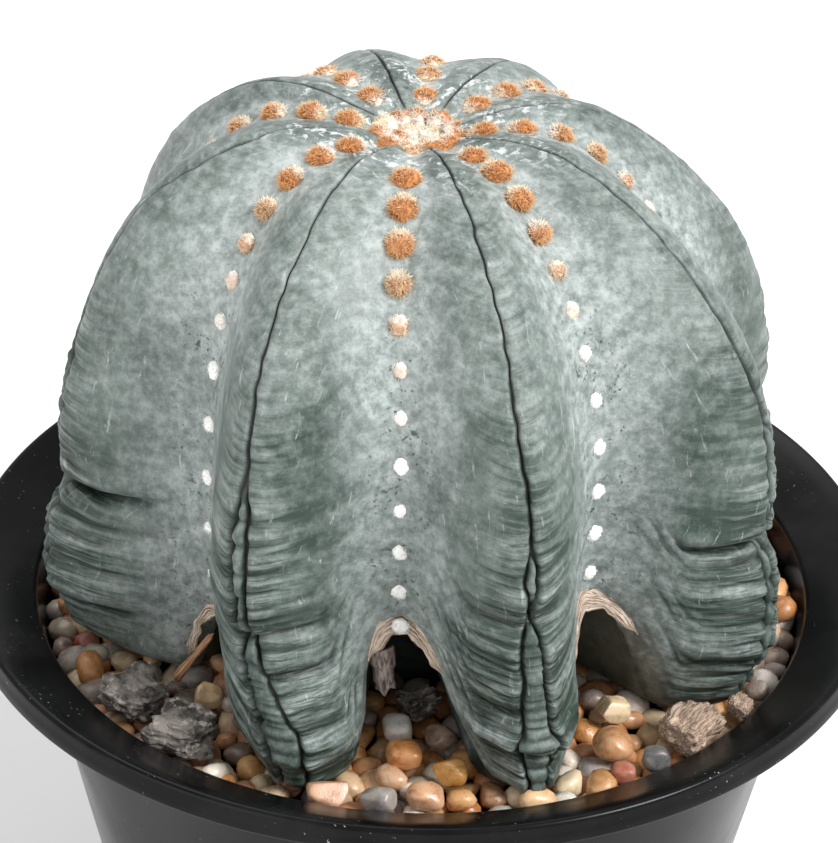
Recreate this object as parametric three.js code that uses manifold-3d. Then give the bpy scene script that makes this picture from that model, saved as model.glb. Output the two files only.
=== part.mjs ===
// A spineless round cactus in a black nursery pot. Eight swollen ribs meet at a woolly crown, rows of
// wool tufts (areoles) follow the valleys between them, and the ribs stand like feet on pea gravel.
// Millimetres and degrees, +Z up, origin at the centre of the pot's base. Azimuth 0 is the front (-Y),
// and it grows towards +X. Heights of the plant are counted from its soles, where the ribs stand.
import * as THREE from "three";
import { mergeVertices } from "three/addons/utils/BufferGeometryUtils.js";
import Module from "manifold-3d";

// ---- Driving dimensions: pot ----
const POT_HEIGHT = 115;
const MOUTH_RADIUS = 66.9; // where the funnel-shaped collar meets the wall
const COLLAR_WIDTH = 11.1; // from the mouth out to the collar's top edge
const COLLAR_DROP = 5.5; // from the top edge down to the mouth
const SKIRT_DROP = 3.7; // turned-down outer lip
const SKIRT_FLARE = 1.6;
const BASE_RADIUS = 46.5;
const WALL = 1.5;
const LIP_ROUNDING = 0.8;
const FOOT_RING_WIDTH = 4.5;
const FLOOR_RAISE = 3;
const FLOOR_THICKNESS = 1.8;
const DRAIN_COUNT = 8;
const DRAIN_RADIUS = 4;
const DRAIN_INSET = 12; // from the foot ring in to the middle of a drain
const CENTRE_DRAIN_RADIUS = 5;

// ---- Driving dimensions: filling ----
const RIM_TO_GRAVEL = 9;
const GRAVEL_DEPTH = 8;
const GAP = 0.3; // between pieces that touch
const SOCKET_CLEARANCE = 0.5; // between the buried root and the soil round it

// ---- Driving dimensions: plant ----
const STEM_HEIGHT = 91; // highest point of the ribs above the soles
const STEM_TO_MOUTH = 5.2; // from the widest point of a rib of ordinary reach out to the pot's mouth
const RIB_DEPTH = 15.1; // from there in to the widest point of the valleys
const ARCH_HEIGHT = 23.2; // the tallest arch, where its valley ends, stands this far above the soles
const CROWN_LEAN = 2.3; // the crown stands this far to the left of the pot's axis
const NECK_RADIUS = 24; // where the joined ribs go down through the gravel
const ROOT_DEPTH = 58; // from the soles to the tip of the taproot
const CROWN_WOOL_RADIUS = 8;
const CROWN_WOOL_HEIGHT = 3.4;
const TUFT_RADIUS = 2.2;
const TUFT_HEIGHT = 2.6;
const TUFT_GAP = 1.9; // between the tufts of a row
const TUFTS_PER_ROW = 4; // the large woolly ones; smaller felt dots follow further down

// Side outlines as shares of a radius and a height, from the crown down.
const CREST_OUTLINE = [
  [0, 0.931], [0.08, 0.964], [0.21, 0.992], [0.36, 1], [0.535, 0.967], [0.713, 0.885], [0.859, 0.755],
  [0.956, 0.601], [0.997, 0.458], [1, 0.337], [1, 0.205], [0.998, 0.085], [0.985, 0],
];
const VALLEY_OUTLINE = [
  [0, 0.902], [0.129, 0.944], [0.3, 0.978], [0.494, 0.975], [0.665, 0.91], [0.837, 0.77],
  [0.944, 0.607], [0.994, 0.435], [1, 0.28], [0.991, 0.14], [0.966, 0],
];

// Each rib with the valley before it. row: name of that valley's row of tufts. crest, valley: azimuths.
// reach: scale of the crest's radius. stride, shift: how far the foot and the arch before it wander
// sideways on the way down. sag: how much lower than the tallest arch the one before it is. stance:
// shares of the rib's width before and after its crest that its sole keeps. pinch, fold: height and
// depth of the crease round the rib's foot. belly: bulge below the crease. toe: how far the foot spreads
// outwards at its sole. start: distance along the valley from the crown's wool to the row's first tuft.
const RIBS = [
  { row: "left", crest: -76, valley: -98, reach: 1, stride: 0, shift: 0, sag: 0.5,
    stance: [0.72, 0.72], pinch: 30.7, fold: 3.5, belly: 3.2, toe: 0, start: 1.8 },
  { row: "front_left", crest: -27, valley: -48, reach: 1, stride: 9, shift: 0, sag: 8.5,
    stance: [0.55, 0.44], pinch: 27, fold: 1.8, belly: 1, toe: 1.2, start: 4.8 },
  { row: "front", crest: 16, valley: -4.5, reach: 1, stride: 2.3, shift: 3, sag: 0.4,
    stance: [0.4, 0.6], pinch: 34.5, fold: 1.2, belly: 1.4, toe: 3.4, start: 11.2 },
  { row: "front_right", crest: 61, valley: 36, reach: 1.03, stride: -2, shift: 0, sag: 1,
    stance: [0.44, 0.55], pinch: 31.5, fold: 2.5, belly: 2.8, toe: 0, start: 5.6 },
  { row: "right", crest: 106, valley: 83, reach: 0.985, stride: 0, shift: 0, sag: 2.5,
    stance: [0.56, 0.56], pinch: 32.7, fold: 4, belly: 3, toe: 0, start: 1.2 },
  { row: "back_right", crest: 151, valley: 129, reach: 0.98, stride: 0, shift: 0, sag: 0,
    stance: [0.58, 0.58], pinch: 18.7, fold: 3, belly: 1, toe: 0.6, start: 2.8 },
  { row: "back", crest: 197, valley: 175, reach: 0.98, stride: 0, shift: 0, sag: 1.5,
    stance: [0.55, 0.55], pinch: 23.7, fold: 3, belly: 1, toe: 0.8, start: 1.8 },
  { row: "back_left", crest: 240, valley: 219, reach: 1, stride: 0, shift: 0, sag: 3.5,
    stance: [0.57, 0.57], pinch: 28.7, fold: 3, belly: 1, toe: 0, start: 3.3 },
];
const ARCH_POWER = 3.4; // breadth of an arch's top: 2 is round, more is squarer
const ARCH_FLARE = 1.6; // how softly an arch's walls run out into the soles
const CREASE_RISE = 3; // the crease climbs this much from the crest to the valleys
const CREASE_WIDTH = 3.2;
const SAG_START = 0.5; // share of a valley's length where it starts to sink towards a low arch
const BELLY_DROP = 14; // from the crease down to the middle of the bulge
const BELLY_WIDTH = 11;
const TOE_HEIGHT = 7; // the toes have spread below about this height
const WANDER_START = 34; // the feet and arches wander sideways below this height
const LEAN_START = 54; // the crown leans above this height

// ---- Fineness of the surfaces ----
const POT_SEGMENTS = 64;
const SOIL_SEGMENTS = 48;
const CROSSINGS = [-1, -0.86, -0.7, -0.55, -0.42, -0.22, 0, 0.22, 0.42, 0.55, 0.7, 0.86]; // across a rib
const STEM_ROWS = 22;
const WOOL_CROSSINGS = [-1, -0.5, 0, 0.5];
const SOLE_ROWS = 4;
const ROOT_ROWS = [0.14, 0.35, 0.6, 0.85]; // shares of the root's depth

// ---- Colours and finishes ----
const finish = (color, roughness) => new THREE.MeshStandardMaterial({ color, roughness, metalness: 0 });
const POT_PLASTIC = finish(0x0b0b0d, 0.22);
const POTTING_MIX = finish(0x2e2620, 0.95);
const GRAVEL = finish(0xb08a66, 0.6);
const STEM_SKIN = finish(0x52685f, 0.6);
const CROWN_WOOL = finish(0xe8dcc4, 0.95);
const TUFT_WOOL = finish(0xc08a58, 0.95);
const BARK = finish(0x6c625c, 0.9);
const WOOD = finish(0xa98465, 0.85);

// ---- Helpers ----
const wasm = await Module();
wasm.setup();
const group = new THREE.Group();

function add(name, geometry, material) {
  const mesh = new THREE.Mesh(geometry, material);
  mesh.name = name;
  group.add(mesh);
  return mesh;
}

function asManifold(geometry) {
  const bare = geometry.clone();
  bare.deleteAttribute("normal");
  bare.deleteAttribute("uv");
  const merged = mergeVertices(bare, 1e-4);
  const vertProperties = new Float32Array(merged.attributes.position.array);
  const triVerts = new Uint32Array(merged.index.array);
  return new wasm.Manifold(new wasm.Mesh({ numProp: 3, vertProperties, triVerts }));
}

function asGeometry(manifold) {
  const mesh = manifold.getMesh();
  const geometry = new THREE.BufferGeometry();
  geometry.setAttribute("position", new THREE.BufferAttribute(mesh.vertProperties, 3));
  geometry.setIndex(new THREE.BufferAttribute(mesh.triVerts, 1));
  geometry.computeVertexNormals();
  return geometry;
}

// A solid of revolution about Z from [radius, height] points that run up the outside.
function turned(points, segments) {
  const profile = points.map(([radius, height]) => new THREE.Vector2(radius, height));
  return new THREE.LatheGeometry(profile, segments).rotateX(Math.PI / 2);
}

// A closed skin through rings of equally many points, from the top pole down to the bottom pole.
function skinned(top, rings, bottom) {
  const count = rings[0].length;
  const points = [top, ...rings.flat(), bottom];
  const faces = [];
  for (let j = 0; j < count; j++) {
    const next = (j + 1) % count;
    faces.push(0, 1 + j, 1 + next);
    for (let i = 0; i < rings.length - 1; i++) {
      const upper = 1 + i * count;
      const lower = upper + count;
      faces.push(upper + j, lower + j, lower + next);
      faces.push(upper + j, lower + next, upper + next);
    }
    const last = 1 + (rings.length - 1) * count;
    faces.push(points.length - 1, last + next, last + j);
  }
  const geometry = new THREE.BufferGeometry().setFromPoints(points);
  geometry.setIndex(faces);
  geometry.computeVertexNormals();
  return geometry;
}

// A point from its azimuth, its distance from the pot's axis and its height.
function polar(azimuth, radius, height) {
  const angle = THREE.MathUtils.degToRad(azimuth);
  return new THREE.Vector3(radius * Math.sin(angle), -radius * Math.cos(angle), height);
}

// ---- Pot ----
const mouthHeight = POT_HEIGHT - COLLAR_DROP;
const floorTop = FLOOR_RAISE + FLOOR_THICKNESS;
const innerRadius = (height) =>
  THREE.MathUtils.mapLinear(height, 0, mouthHeight, BASE_RADIUS - WALL, MOUTH_RADIUS);

function potGeometry() {
  const skirtBottom = POT_HEIGHT - SKIRT_DROP;
  const collarRadius = MOUTH_RADIUS + COLLAR_WIDTH;
  const skirtRadius = collarRadius + SKIRT_FLARE;
  const ringInner = BASE_RADIUS - FOOT_RING_WIDTH;
  const collarUnder = mouthHeight - WALL;
  const profile = [
    [0, FLOOR_RAISE],
    [ringInner, FLOOR_RAISE],
    [ringInner + LIP_ROUNDING, 0],
    [BASE_RADIUS - LIP_ROUNDING, 0],
    [BASE_RADIUS, LIP_ROUNDING],
    [innerRadius(collarUnder) + WALL, collarUnder],
    [collarRadius - WALL, POT_HEIGHT - 2 * WALL],
    [skirtRadius - WALL, skirtBottom],
    [skirtRadius, skirtBottom],
    [collarRadius + LIP_ROUNDING, POT_HEIGHT - LIP_ROUNDING],
    [collarRadius, POT_HEIGHT],
    [collarRadius - LIP_ROUNDING, POT_HEIGHT - LIP_ROUNDING / 3],
    [MOUTH_RADIUS, mouthHeight],
    [innerRadius(floorTop), floorTop],
    [0, floorTop],
  ];
  let pot = asManifold(turned(profile, POT_SEGMENTS));
  const drains = [[CENTRE_DRAIN_RADIUS, 0, 0]];
  const drainCircle = ringInner - DRAIN_INSET;
  for (let i = 0; i < DRAIN_COUNT; i++) drains.push([DRAIN_RADIUS, drainCircle, (360 * i) / DRAIN_COUNT]);
  for (const [radius, distance, azimuth] of drains) {
    const drill = new THREE.CylinderGeometry(radius, radius, 4 * FLOOR_THICKNESS, 16).rotateX(Math.PI / 2);
    const centre = polar(azimuth, distance, FLOOR_RAISE);
    pot = pot.subtract(asManifold(drill.translate(centre.x, centre.y, centre.z)));
  }
  return asGeometry(pot);
}

// ---- Root, shared by the stem and by what it is buried in ----
const gravelTop = POT_HEIGHT - RIM_TO_GRAVEL;
const soilTop = gravelTop - GRAVEL_DEPTH;
const soleHeight = gravelTop + GAP;
const rootRadius = (share) => NECK_RADIUS * Math.pow(1 - share, 0.8);
const rootShare = (height) => (soleHeight - height) / ROOT_DEPTH;
const holeRadius = (height) => rootRadius(rootShare(height)) + SOCKET_CLEARANCE;

// ---- Potting mix and gravel bed ----
function pottingMixGeometry() {
  const bottom = floorTop + GAP;
  const socket = ROOT_ROWS.filter((share) => share > rootShare(soilTop)).map((share) => {
    const height = soleHeight - share * ROOT_DEPTH;
    return [holeRadius(height), height];
  });
  const profile = [
    [0, bottom],
    [innerRadius(bottom) - GAP, bottom],
    [innerRadius(soilTop) - GAP, soilTop],
    [holeRadius(soilTop), soilTop],
    ...socket,
    [0, soleHeight - ROOT_DEPTH - SOCKET_CLEARANCE],
  ];
  return turned(profile, SOIL_SEGMENTS);
}

function gravelBedGeometry() {
  const bottom = soilTop + GAP;
  const profile = [
    [holeRadius(gravelTop), gravelTop],
    [holeRadius(bottom), bottom],
    [innerRadius(bottom) - GAP, bottom],
    [innerRadius(gravelTop) - GAP, gravelTop],
    [holeRadius(gravelTop), gravelTop],
  ];
  return turned(profile, SOIL_SEGMENTS);
}

// ---- Stem surface ----
// A smooth curve through outline points that are shares of a radius and of a height span.
function outline(shares, radius, bottom, top) {
  const points = shares.map(([r, h]) => new THREE.Vector3(r * radius, 0, bottom + h * (top - bottom)));
  return new THREE.CatmullRomCurve3(points, false, "chordal");
}
const stemRadius = MOUTH_RADIUS - STEM_TO_MOUTH;
const crestCurve = outline(CREST_OUTLINE, stemRadius, 0, STEM_HEIGHT);
const valleyCurve = outline(VALLEY_OUTLINE, stemRadius - RIB_DEPTH, ARCH_HEIGHT, STEM_HEIGHT);
const crestLength = crestCurve.getLength();
const valleyLength = valleyCurve.getLength();
const bump = (x, width) => Math.exp(-((x / width) ** 2));

// Azimuth across rib i: u is 0 on its crest, -1 in the valley before it and 1 in the valley after it.
function ribAzimuth(i, u) {
  const rib = RIBS[i];
  const after = i + 1 < RIBS.length ? RIBS[i + 1].valley : RIBS[0].valley + 360;
  return u < 0 ? rib.crest + u * (rib.crest - rib.valley) : rib.crest + u * (after - rib.crest);
}

// How far rib i wanders sideways at full depth, as above.
function ribWander(i, u) {
  const shift = RIBS[u < 0 ? i : (i + 1) % RIBS.length].shift;
  const crestShare = Math.cos((u * Math.PI) / 2) ** 2;
  return RIBS[i].stride * crestShare + shift * (1 - crestShare);
}

// 0 in the valley, at the arch's top, and 1 where the rib's sole stands.
function archDrop(i, u) {
  const stance = RIBS[i].stance[u < 0 ? 0 : 1];
  const across = Math.min(1, (1 - Math.abs(u)) / (1 - stance));
  return 1 - (1 - across ** ARCH_POWER) ** ARCH_FLARE;
}

// Height of the valley beside u on rib i, above the soles.
function valleyHeight(i, u, s) {
  const sag = RIBS[u < 0 ? i : (i + 1) % RIBS.length].sag;
  return valleyCurve.getPointAt(s).z - sag * THREE.MathUtils.smoothstep(s, SAG_START, 1);
}

// A point of the stem's skin on rib i: u as above, and s runs from 0 at the crown to 1 at the lower edge.
function stemPoint(i, u, s) {
  const rib = RIBS[i];
  const crestShare = Math.cos((u * Math.PI) / 2) ** 2;
  const blend = THREE.MathUtils.smoothstep(s, 0.35, 1);
  const dropShare = THREE.MathUtils.lerp(crestShare, archDrop(i, u), blend);
  const crest = crestCurve.getPointAt(s);
  const height = THREE.MathUtils.lerp(valleyHeight(i, u, s), crest.z, dropShare);
  const crease = -rib.fold * bump(height - rib.pinch - CREASE_RISE * Math.abs(u), CREASE_WIDTH);
  const bulge = rib.belly * bump(height - rib.pinch + BELLY_DROP, BELLY_WIDTH)
    + rib.toe * bump(height, TOE_HEIGHT);
  const radius = THREE.MathUtils.lerp(valleyCurve.getPointAt(s).x, crest.x * rib.reach, crestShare)
    + (crease + bulge) * Math.pow(crestShare, 0.7);
  const wander = ribWander(i, u) * (1 - THREE.MathUtils.smoothstep(height, 0, WANDER_START));
  const point = polar(ribAzimuth(i, u) + wander, radius, soleHeight + height);
  point.x -= CROWN_LEAN * THREE.MathUtils.smoothstep(height, LEAN_START, STEM_HEIGHT);
  return point;
}

// One ring of points round the whole stem, rib by rib.
const ring = (pointAt, crossings = CROSSINGS) =>
  RIBS.flatMap((rib, i) => crossings.map((u) => pointAt(i, u)));
const crownPoint = stemPoint(0, 0, 0);

function stemGeometry() {
  const rings = [];
  for (let row = 1; row <= STEM_ROWS; row++) rings.push(ring((i, u) => stemPoint(i, u, row / STEM_ROWS)));
  // Underneath, the soles run in flat to the neck, and the arches between them slope down to it.
  for (let row = 1; row <= SOLE_ROWS; row++) {
    const inward = row / SOLE_ROWS;
    rings.push(ring((i, u) => {
      const edge = stemPoint(i, u, 1);
      const radius = THREE.MathUtils.lerp(Math.hypot(edge.x, edge.y), NECK_RADIUS, inward);
      const rise = (edge.z - soleHeight) * (1 - inward ** 2);
      return polar(ribAzimuth(i, u) + ribWander(i, u) * (1 - inward), radius, soleHeight + rise);
    }));
  }
  for (const share of ROOT_ROWS) {
    const height = soleHeight - share * ROOT_DEPTH;
    rings.push(ring((i, u) => polar(ribAzimuth(i, u), rootRadius(share), height)));
  }
  return skinned(crownPoint, rings, new THREE.Vector3(0, 0, soleHeight - ROOT_DEPTH));
}

// ---- Wool ----
// The crown's wool is a low cushion that fits the dimple between the ribs.
function crownWoolGeometry() {
  const lifted = (share, lift) => ring((i, u) => {
    const crestShare = Math.cos((u * Math.PI) / 2) ** 2;
    const length = THREE.MathUtils.lerp(valleyLength, crestLength, crestShare);
    const point = stemPoint(i, u, (share * CROWN_WOOL_RADIUS) / length);
    point.z += lift;
    return point;
  }, WOOL_CROSSINGS);
  const top = crownPoint.clone().add(new THREE.Vector3(0, 0, CROWN_WOOL_HEIGHT));
  const bottom = crownPoint.clone().add(new THREE.Vector3(0, 0, 2 * GAP));
  const rings = [
    lifted(0.5, CROWN_WOOL_HEIGHT * 0.9),
    lifted(0.9, CROWN_WOOL_HEIGHT * 0.55),
    lifted(1, CROWN_WOOL_HEIGHT * 0.3),
    lifted(0.9, 2 * GAP),
    lifted(0.5, 2 * GAP),
  ];
  return skinned(top, rings, bottom);
}

// A tuft sits in the valley before rib i, a gap above the skin, and faces straight out of it.
function addTuft(name, i, distance) {
  const s = distance / valleyLength;
  const step = 0.01;
  const seat = stemPoint(i, -1, s);
  const downhill = stemPoint(i, -1, s + step).sub(stemPoint(i, -1, s - step)).normalize();
  const sideways = polar(RIBS[i].valley + 90, 1, 0);
  const outward = new THREE.Vector3().crossVectors(sideways, downhill).normalize().negate();
  const geometry = new THREE.IcosahedronGeometry(TUFT_RADIUS, 1);
  geometry.scale(1, 1, TUFT_HEIGHT / (2 * TUFT_RADIUS));
  const mesh = add(name, geometry, TUFT_WOOL);
  mesh.quaternion.setFromUnitVectors(new THREE.Vector3(0, 0, 1), outward);
  mesh.position.copy(seat).addScaledVector(outward, TUFT_HEIGHT / 2 + GAP);
}

// ---- Loose stones and bark on the gravel bed ----
// Their sizes and places are for a bed of this radius, and they shrink or grow with the bed.
const LISTED_BED_RADIUS = 66.2;
const bedRadius = innerRadius(gravelTop);
const looseScale = bedRadius / LISTED_BED_RADIUS;
// Each is [name, azimuth, distance in from the pot's wall, length, width, height, turn, colour].
const PEBBLES = [
  ["pebble_amber", -2.5, 15.2, 6.4, 5.8, 4.6, 20, 0xb06a34],
  ["pebble_white", -4.6, 22.2, 5.6, 5, 4.2, 70, 0xe6ded2],
  ["pebble_umber", 4.6, 20.7, 6, 4.4, 3.8, -30, 0x7a6658],
  ["pebble_orange", 5.4, 11.2, 5.8, 5, 4.4, 10, 0xc0793c],
  ["pebble_slate", -5.6, 3.8, 6, 4.4, 4, 0, 0x77777a],
  ["pebble_salmon", -13, 3.4, 7, 4.6, 4.4, -12, 0xcf9a76],
  ["pebble_peach", 1.2, 5, 6.4, 5, 4.2, 15, 0xc8906c],
  ["pebble_terracotta", 34, 9.7, 7.6, 6, 4.8, 40, 0xb87a50],
  ["pebble_brick", 31.8, 3.6, 4.2, 3.8, 3.2, 0, 0x8e4636],
  ["pebble_charcoal", 37.6, 3.2, 5.2, 4.8, 4, 25, 0x4a4c52],
  ["pebble_cream", 41, 17.2, 6, 5, 4.2, -20, 0xd8c3a4],
  ["pebble_sand", -44, 16.2, 5.6, 5, 4.2, 35, 0xd2b48c],
];
const BARK_PIECES = [
  ["bark_chunk_left", -51, 6.7, 13, 8, 5.5, -49, BARK],
  ["bark_chunk_front", -38.5, 5.2, 12.5, 7, 6, -30, BARK],
  ["bark_crumb", 0.5, 28.7, 7, 5.5, 4.6, 30, BARK],
  ["wood_chip", 46.8, 4.2, 12.5, 6.5, 5.5, 52, WOOD],
  ["wood_chip_small", 55.8, 1.7, 6.2, 2.6, 4, 57, WOOD],
];
const TWIG_RADIUS = 1.1;
// Azimuth, distance in from the pot's wall and height above the gravel of the twig's two ends.
const TWIG_FOOT = [-52, 14.2, 2];
const TWIG_TIP = [-46.5, 19.7, 12];

// A worn stone: a ball squashed to size, with one side fuller than the other.
function pebbleGeometry(length, width, height) {
  const geometry = new THREE.IcosahedronGeometry(0.5, 1);
  const position = geometry.attributes.position;
  for (let i = 0; i < position.count; i++) {
    const swell = 1 + 0.16 * position.getX(i) - 0.1 * position.getY(i) * position.getX(i);
    position.setXYZ(i, position.getX(i), position.getY(i) * swell, position.getZ(i) * swell);
  }
  return geometry.scale(length * looseScale, width * looseScale, height * looseScale);
}

// A broken chunk: a block whose corners and edges are knocked in by a fixed uneven pattern.
function chunkGeometry(length, width, height) {
  const geometry = new THREE.BoxGeometry(1, 1, 1, 3, 2, 1);
  const position = geometry.attributes.position;
  for (let i = 0; i < position.count; i++) {
    const [x, y, z] = [position.getX(i), position.getY(i), position.getZ(i)];
    const dent = 1 - 0.16 * (1 + Math.sin(9 * x + 14 * y + 5 * z));
    const lean = 0.12 * Math.sin(7 * y + 3 * x);
    position.setXYZ(i, x * dent, y * (1 - 0.2 * Math.abs(x)) * dent, z * dent + (z > 0 ? lean : 0));
  }
  return geometry.scale(length * looseScale, width * looseScale, height * looseScale);
}

// A point over the gravel bed.
const overGravel = (azimuth, inset, height) =>
  polar(azimuth, bedRadius - inset * looseScale, gravelTop + height);

// Lays a loose piece on the gravel bed with its lowest point a gap above it.
function lay(mesh, azimuth, inset, turn) {
  mesh.geometry.computeBoundingBox();
  mesh.position.copy(overGravel(azimuth, inset, GAP - mesh.geometry.boundingBox.min.z));
  mesh.rotation.z = THREE.MathUtils.degToRad(turn);
}

function addTwig() {
  const foot = overGravel(...TWIG_FOOT);
  const tip = overGravel(...TWIG_TIP);
  const along = tip.clone().sub(foot);
  const geometry = new THREE.CylinderGeometry(TWIG_RADIUS * 0.6, TWIG_RADIUS, along.length(), 7);
  const twig = add("twig", geometry, WOOD);
  twig.quaternion.setFromUnitVectors(new THREE.Vector3(0, 1, 0), along.normalize());
  twig.position.copy(foot.add(tip).divideScalar(2));
}

// ---- Assembly ----
add("pot", potGeometry(), POT_PLASTIC);
add("potting_mix", pottingMixGeometry(), POTTING_MIX);
add("gravel_bed", gravelBedGeometry(), GRAVEL);
add("cactus_stem", stemGeometry(), STEM_SKIN);
add("crown_wool", crownWoolGeometry(), CROWN_WOOL);
RIBS.forEach((rib, i) => {
  const first = CROWN_WOOL_RADIUS + rib.start + TUFT_RADIUS;
  const spacing = 2 * TUFT_RADIUS + TUFT_GAP;
  for (let k = 0; k < TUFTS_PER_ROW; k++) addTuft(`areole_${rib.row}_${k + 1}`, i, first + k * spacing);
});
for (const [name, azimuth, inset, length, width, height, turn, colour] of PEBBLES)
  lay(add(name, pebbleGeometry(length, width, height), finish(colour, 0.4)), azimuth, inset, turn);
for (const [name, azimuth, inset, length, width, height, turn, material] of BARK_PIECES)
  lay(add(name, chunkGeometry(length, width, height), material), azimuth, inset, turn);
addTwig();

export default group;
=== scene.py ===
"""Looks for the potted round cactus: ribbed stem, wool, gravel, bark and a black nursery pot.

Shapes are worked out in millimetres in the part's own frame and turned into metres when a mesh is made.
Azimuth 0 is the front (-Y) and grows towards +X. Heights of the plant are counted from its soles."""
import math
import bpy
import bmesh
import numpy as np
from mathutils import Matrix, Vector


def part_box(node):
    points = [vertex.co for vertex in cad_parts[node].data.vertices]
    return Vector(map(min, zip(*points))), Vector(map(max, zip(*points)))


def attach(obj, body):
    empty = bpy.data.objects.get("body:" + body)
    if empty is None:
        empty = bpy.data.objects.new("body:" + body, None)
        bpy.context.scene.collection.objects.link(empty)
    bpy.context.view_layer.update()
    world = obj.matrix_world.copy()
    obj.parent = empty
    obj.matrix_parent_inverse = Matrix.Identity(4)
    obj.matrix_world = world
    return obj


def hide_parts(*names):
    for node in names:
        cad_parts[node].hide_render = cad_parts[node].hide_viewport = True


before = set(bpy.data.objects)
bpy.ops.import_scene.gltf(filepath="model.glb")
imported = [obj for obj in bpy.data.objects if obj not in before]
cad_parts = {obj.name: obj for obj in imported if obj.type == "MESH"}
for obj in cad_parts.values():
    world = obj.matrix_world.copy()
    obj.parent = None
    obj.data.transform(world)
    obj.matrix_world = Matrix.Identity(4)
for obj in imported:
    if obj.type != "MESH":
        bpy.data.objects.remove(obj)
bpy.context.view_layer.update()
MM = 0.001


# ---------------------------------------------------------------- places that come from the frame
def node_top(node):
    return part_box(node)[1].z / MM


def node_centre(node):
    low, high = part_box(node)
    return np.array([(a + b) / 2 / MM for a, b in zip(low, high)])


def node_size(node):
    low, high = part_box(node)
    return np.array([(b - a) / MM for a, b in zip(low, high)])


RIM = node_top("pot")
GRAVEL_TOP = node_top("gravel_bed")
BED_RADIUS = node_size("gravel_bed")[0] / 2
GAP = 0.3  # between pieces that touch
SOLE = GRAVEL_TOP + GAP

# ---------------------------------------------------------------- the stem's shape, as in the CAD part
STEM_HEIGHT = 91.0  # from the soles to the highest point of the ribs
STEM_RADIUS = 61.7  # of a crest of ordinary reach, where it is widest
VALLEY_RADIUS = 46.6
ARCH_HEIGHT = 23.2
CROWN_LEAN = 2.3
NECK_RADIUS = 24.0
CREST_OUTLINE = [
    (0, 0.931), (0.08, 0.964), (0.21, 0.992), (0.36, 1), (0.535, 0.967), (0.713, 0.885),
    (0.859, 0.755), (0.956, 0.601), (0.997, 0.458), (1, 0.337), (1, 0.205), (0.998, 0.085), (0.985, 0),
]
VALLEY_OUTLINE = [
    (0, 0.902), (0.129, 0.944), (0.3, 0.978), (0.494, 0.975), (0.665, 0.91), (0.837, 0.77),
    (0.944, 0.607), (0.994, 0.435), (1, 0.28), (0.991, 0.14), (0.966, 0),
]
ARCH_POWER = 3.4
ARCH_FLARE = 1.6
SAG_START = 0.5
CREASE_RISE = 3.0
CREASE_WIDTH = 3.2
BELLY_DROP = 14.0
BELLY_WIDTH = 11.0
TOE_HEIGHT = 7.0
WANDER_START = 34.0
LEAN_START = 54.0

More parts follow.
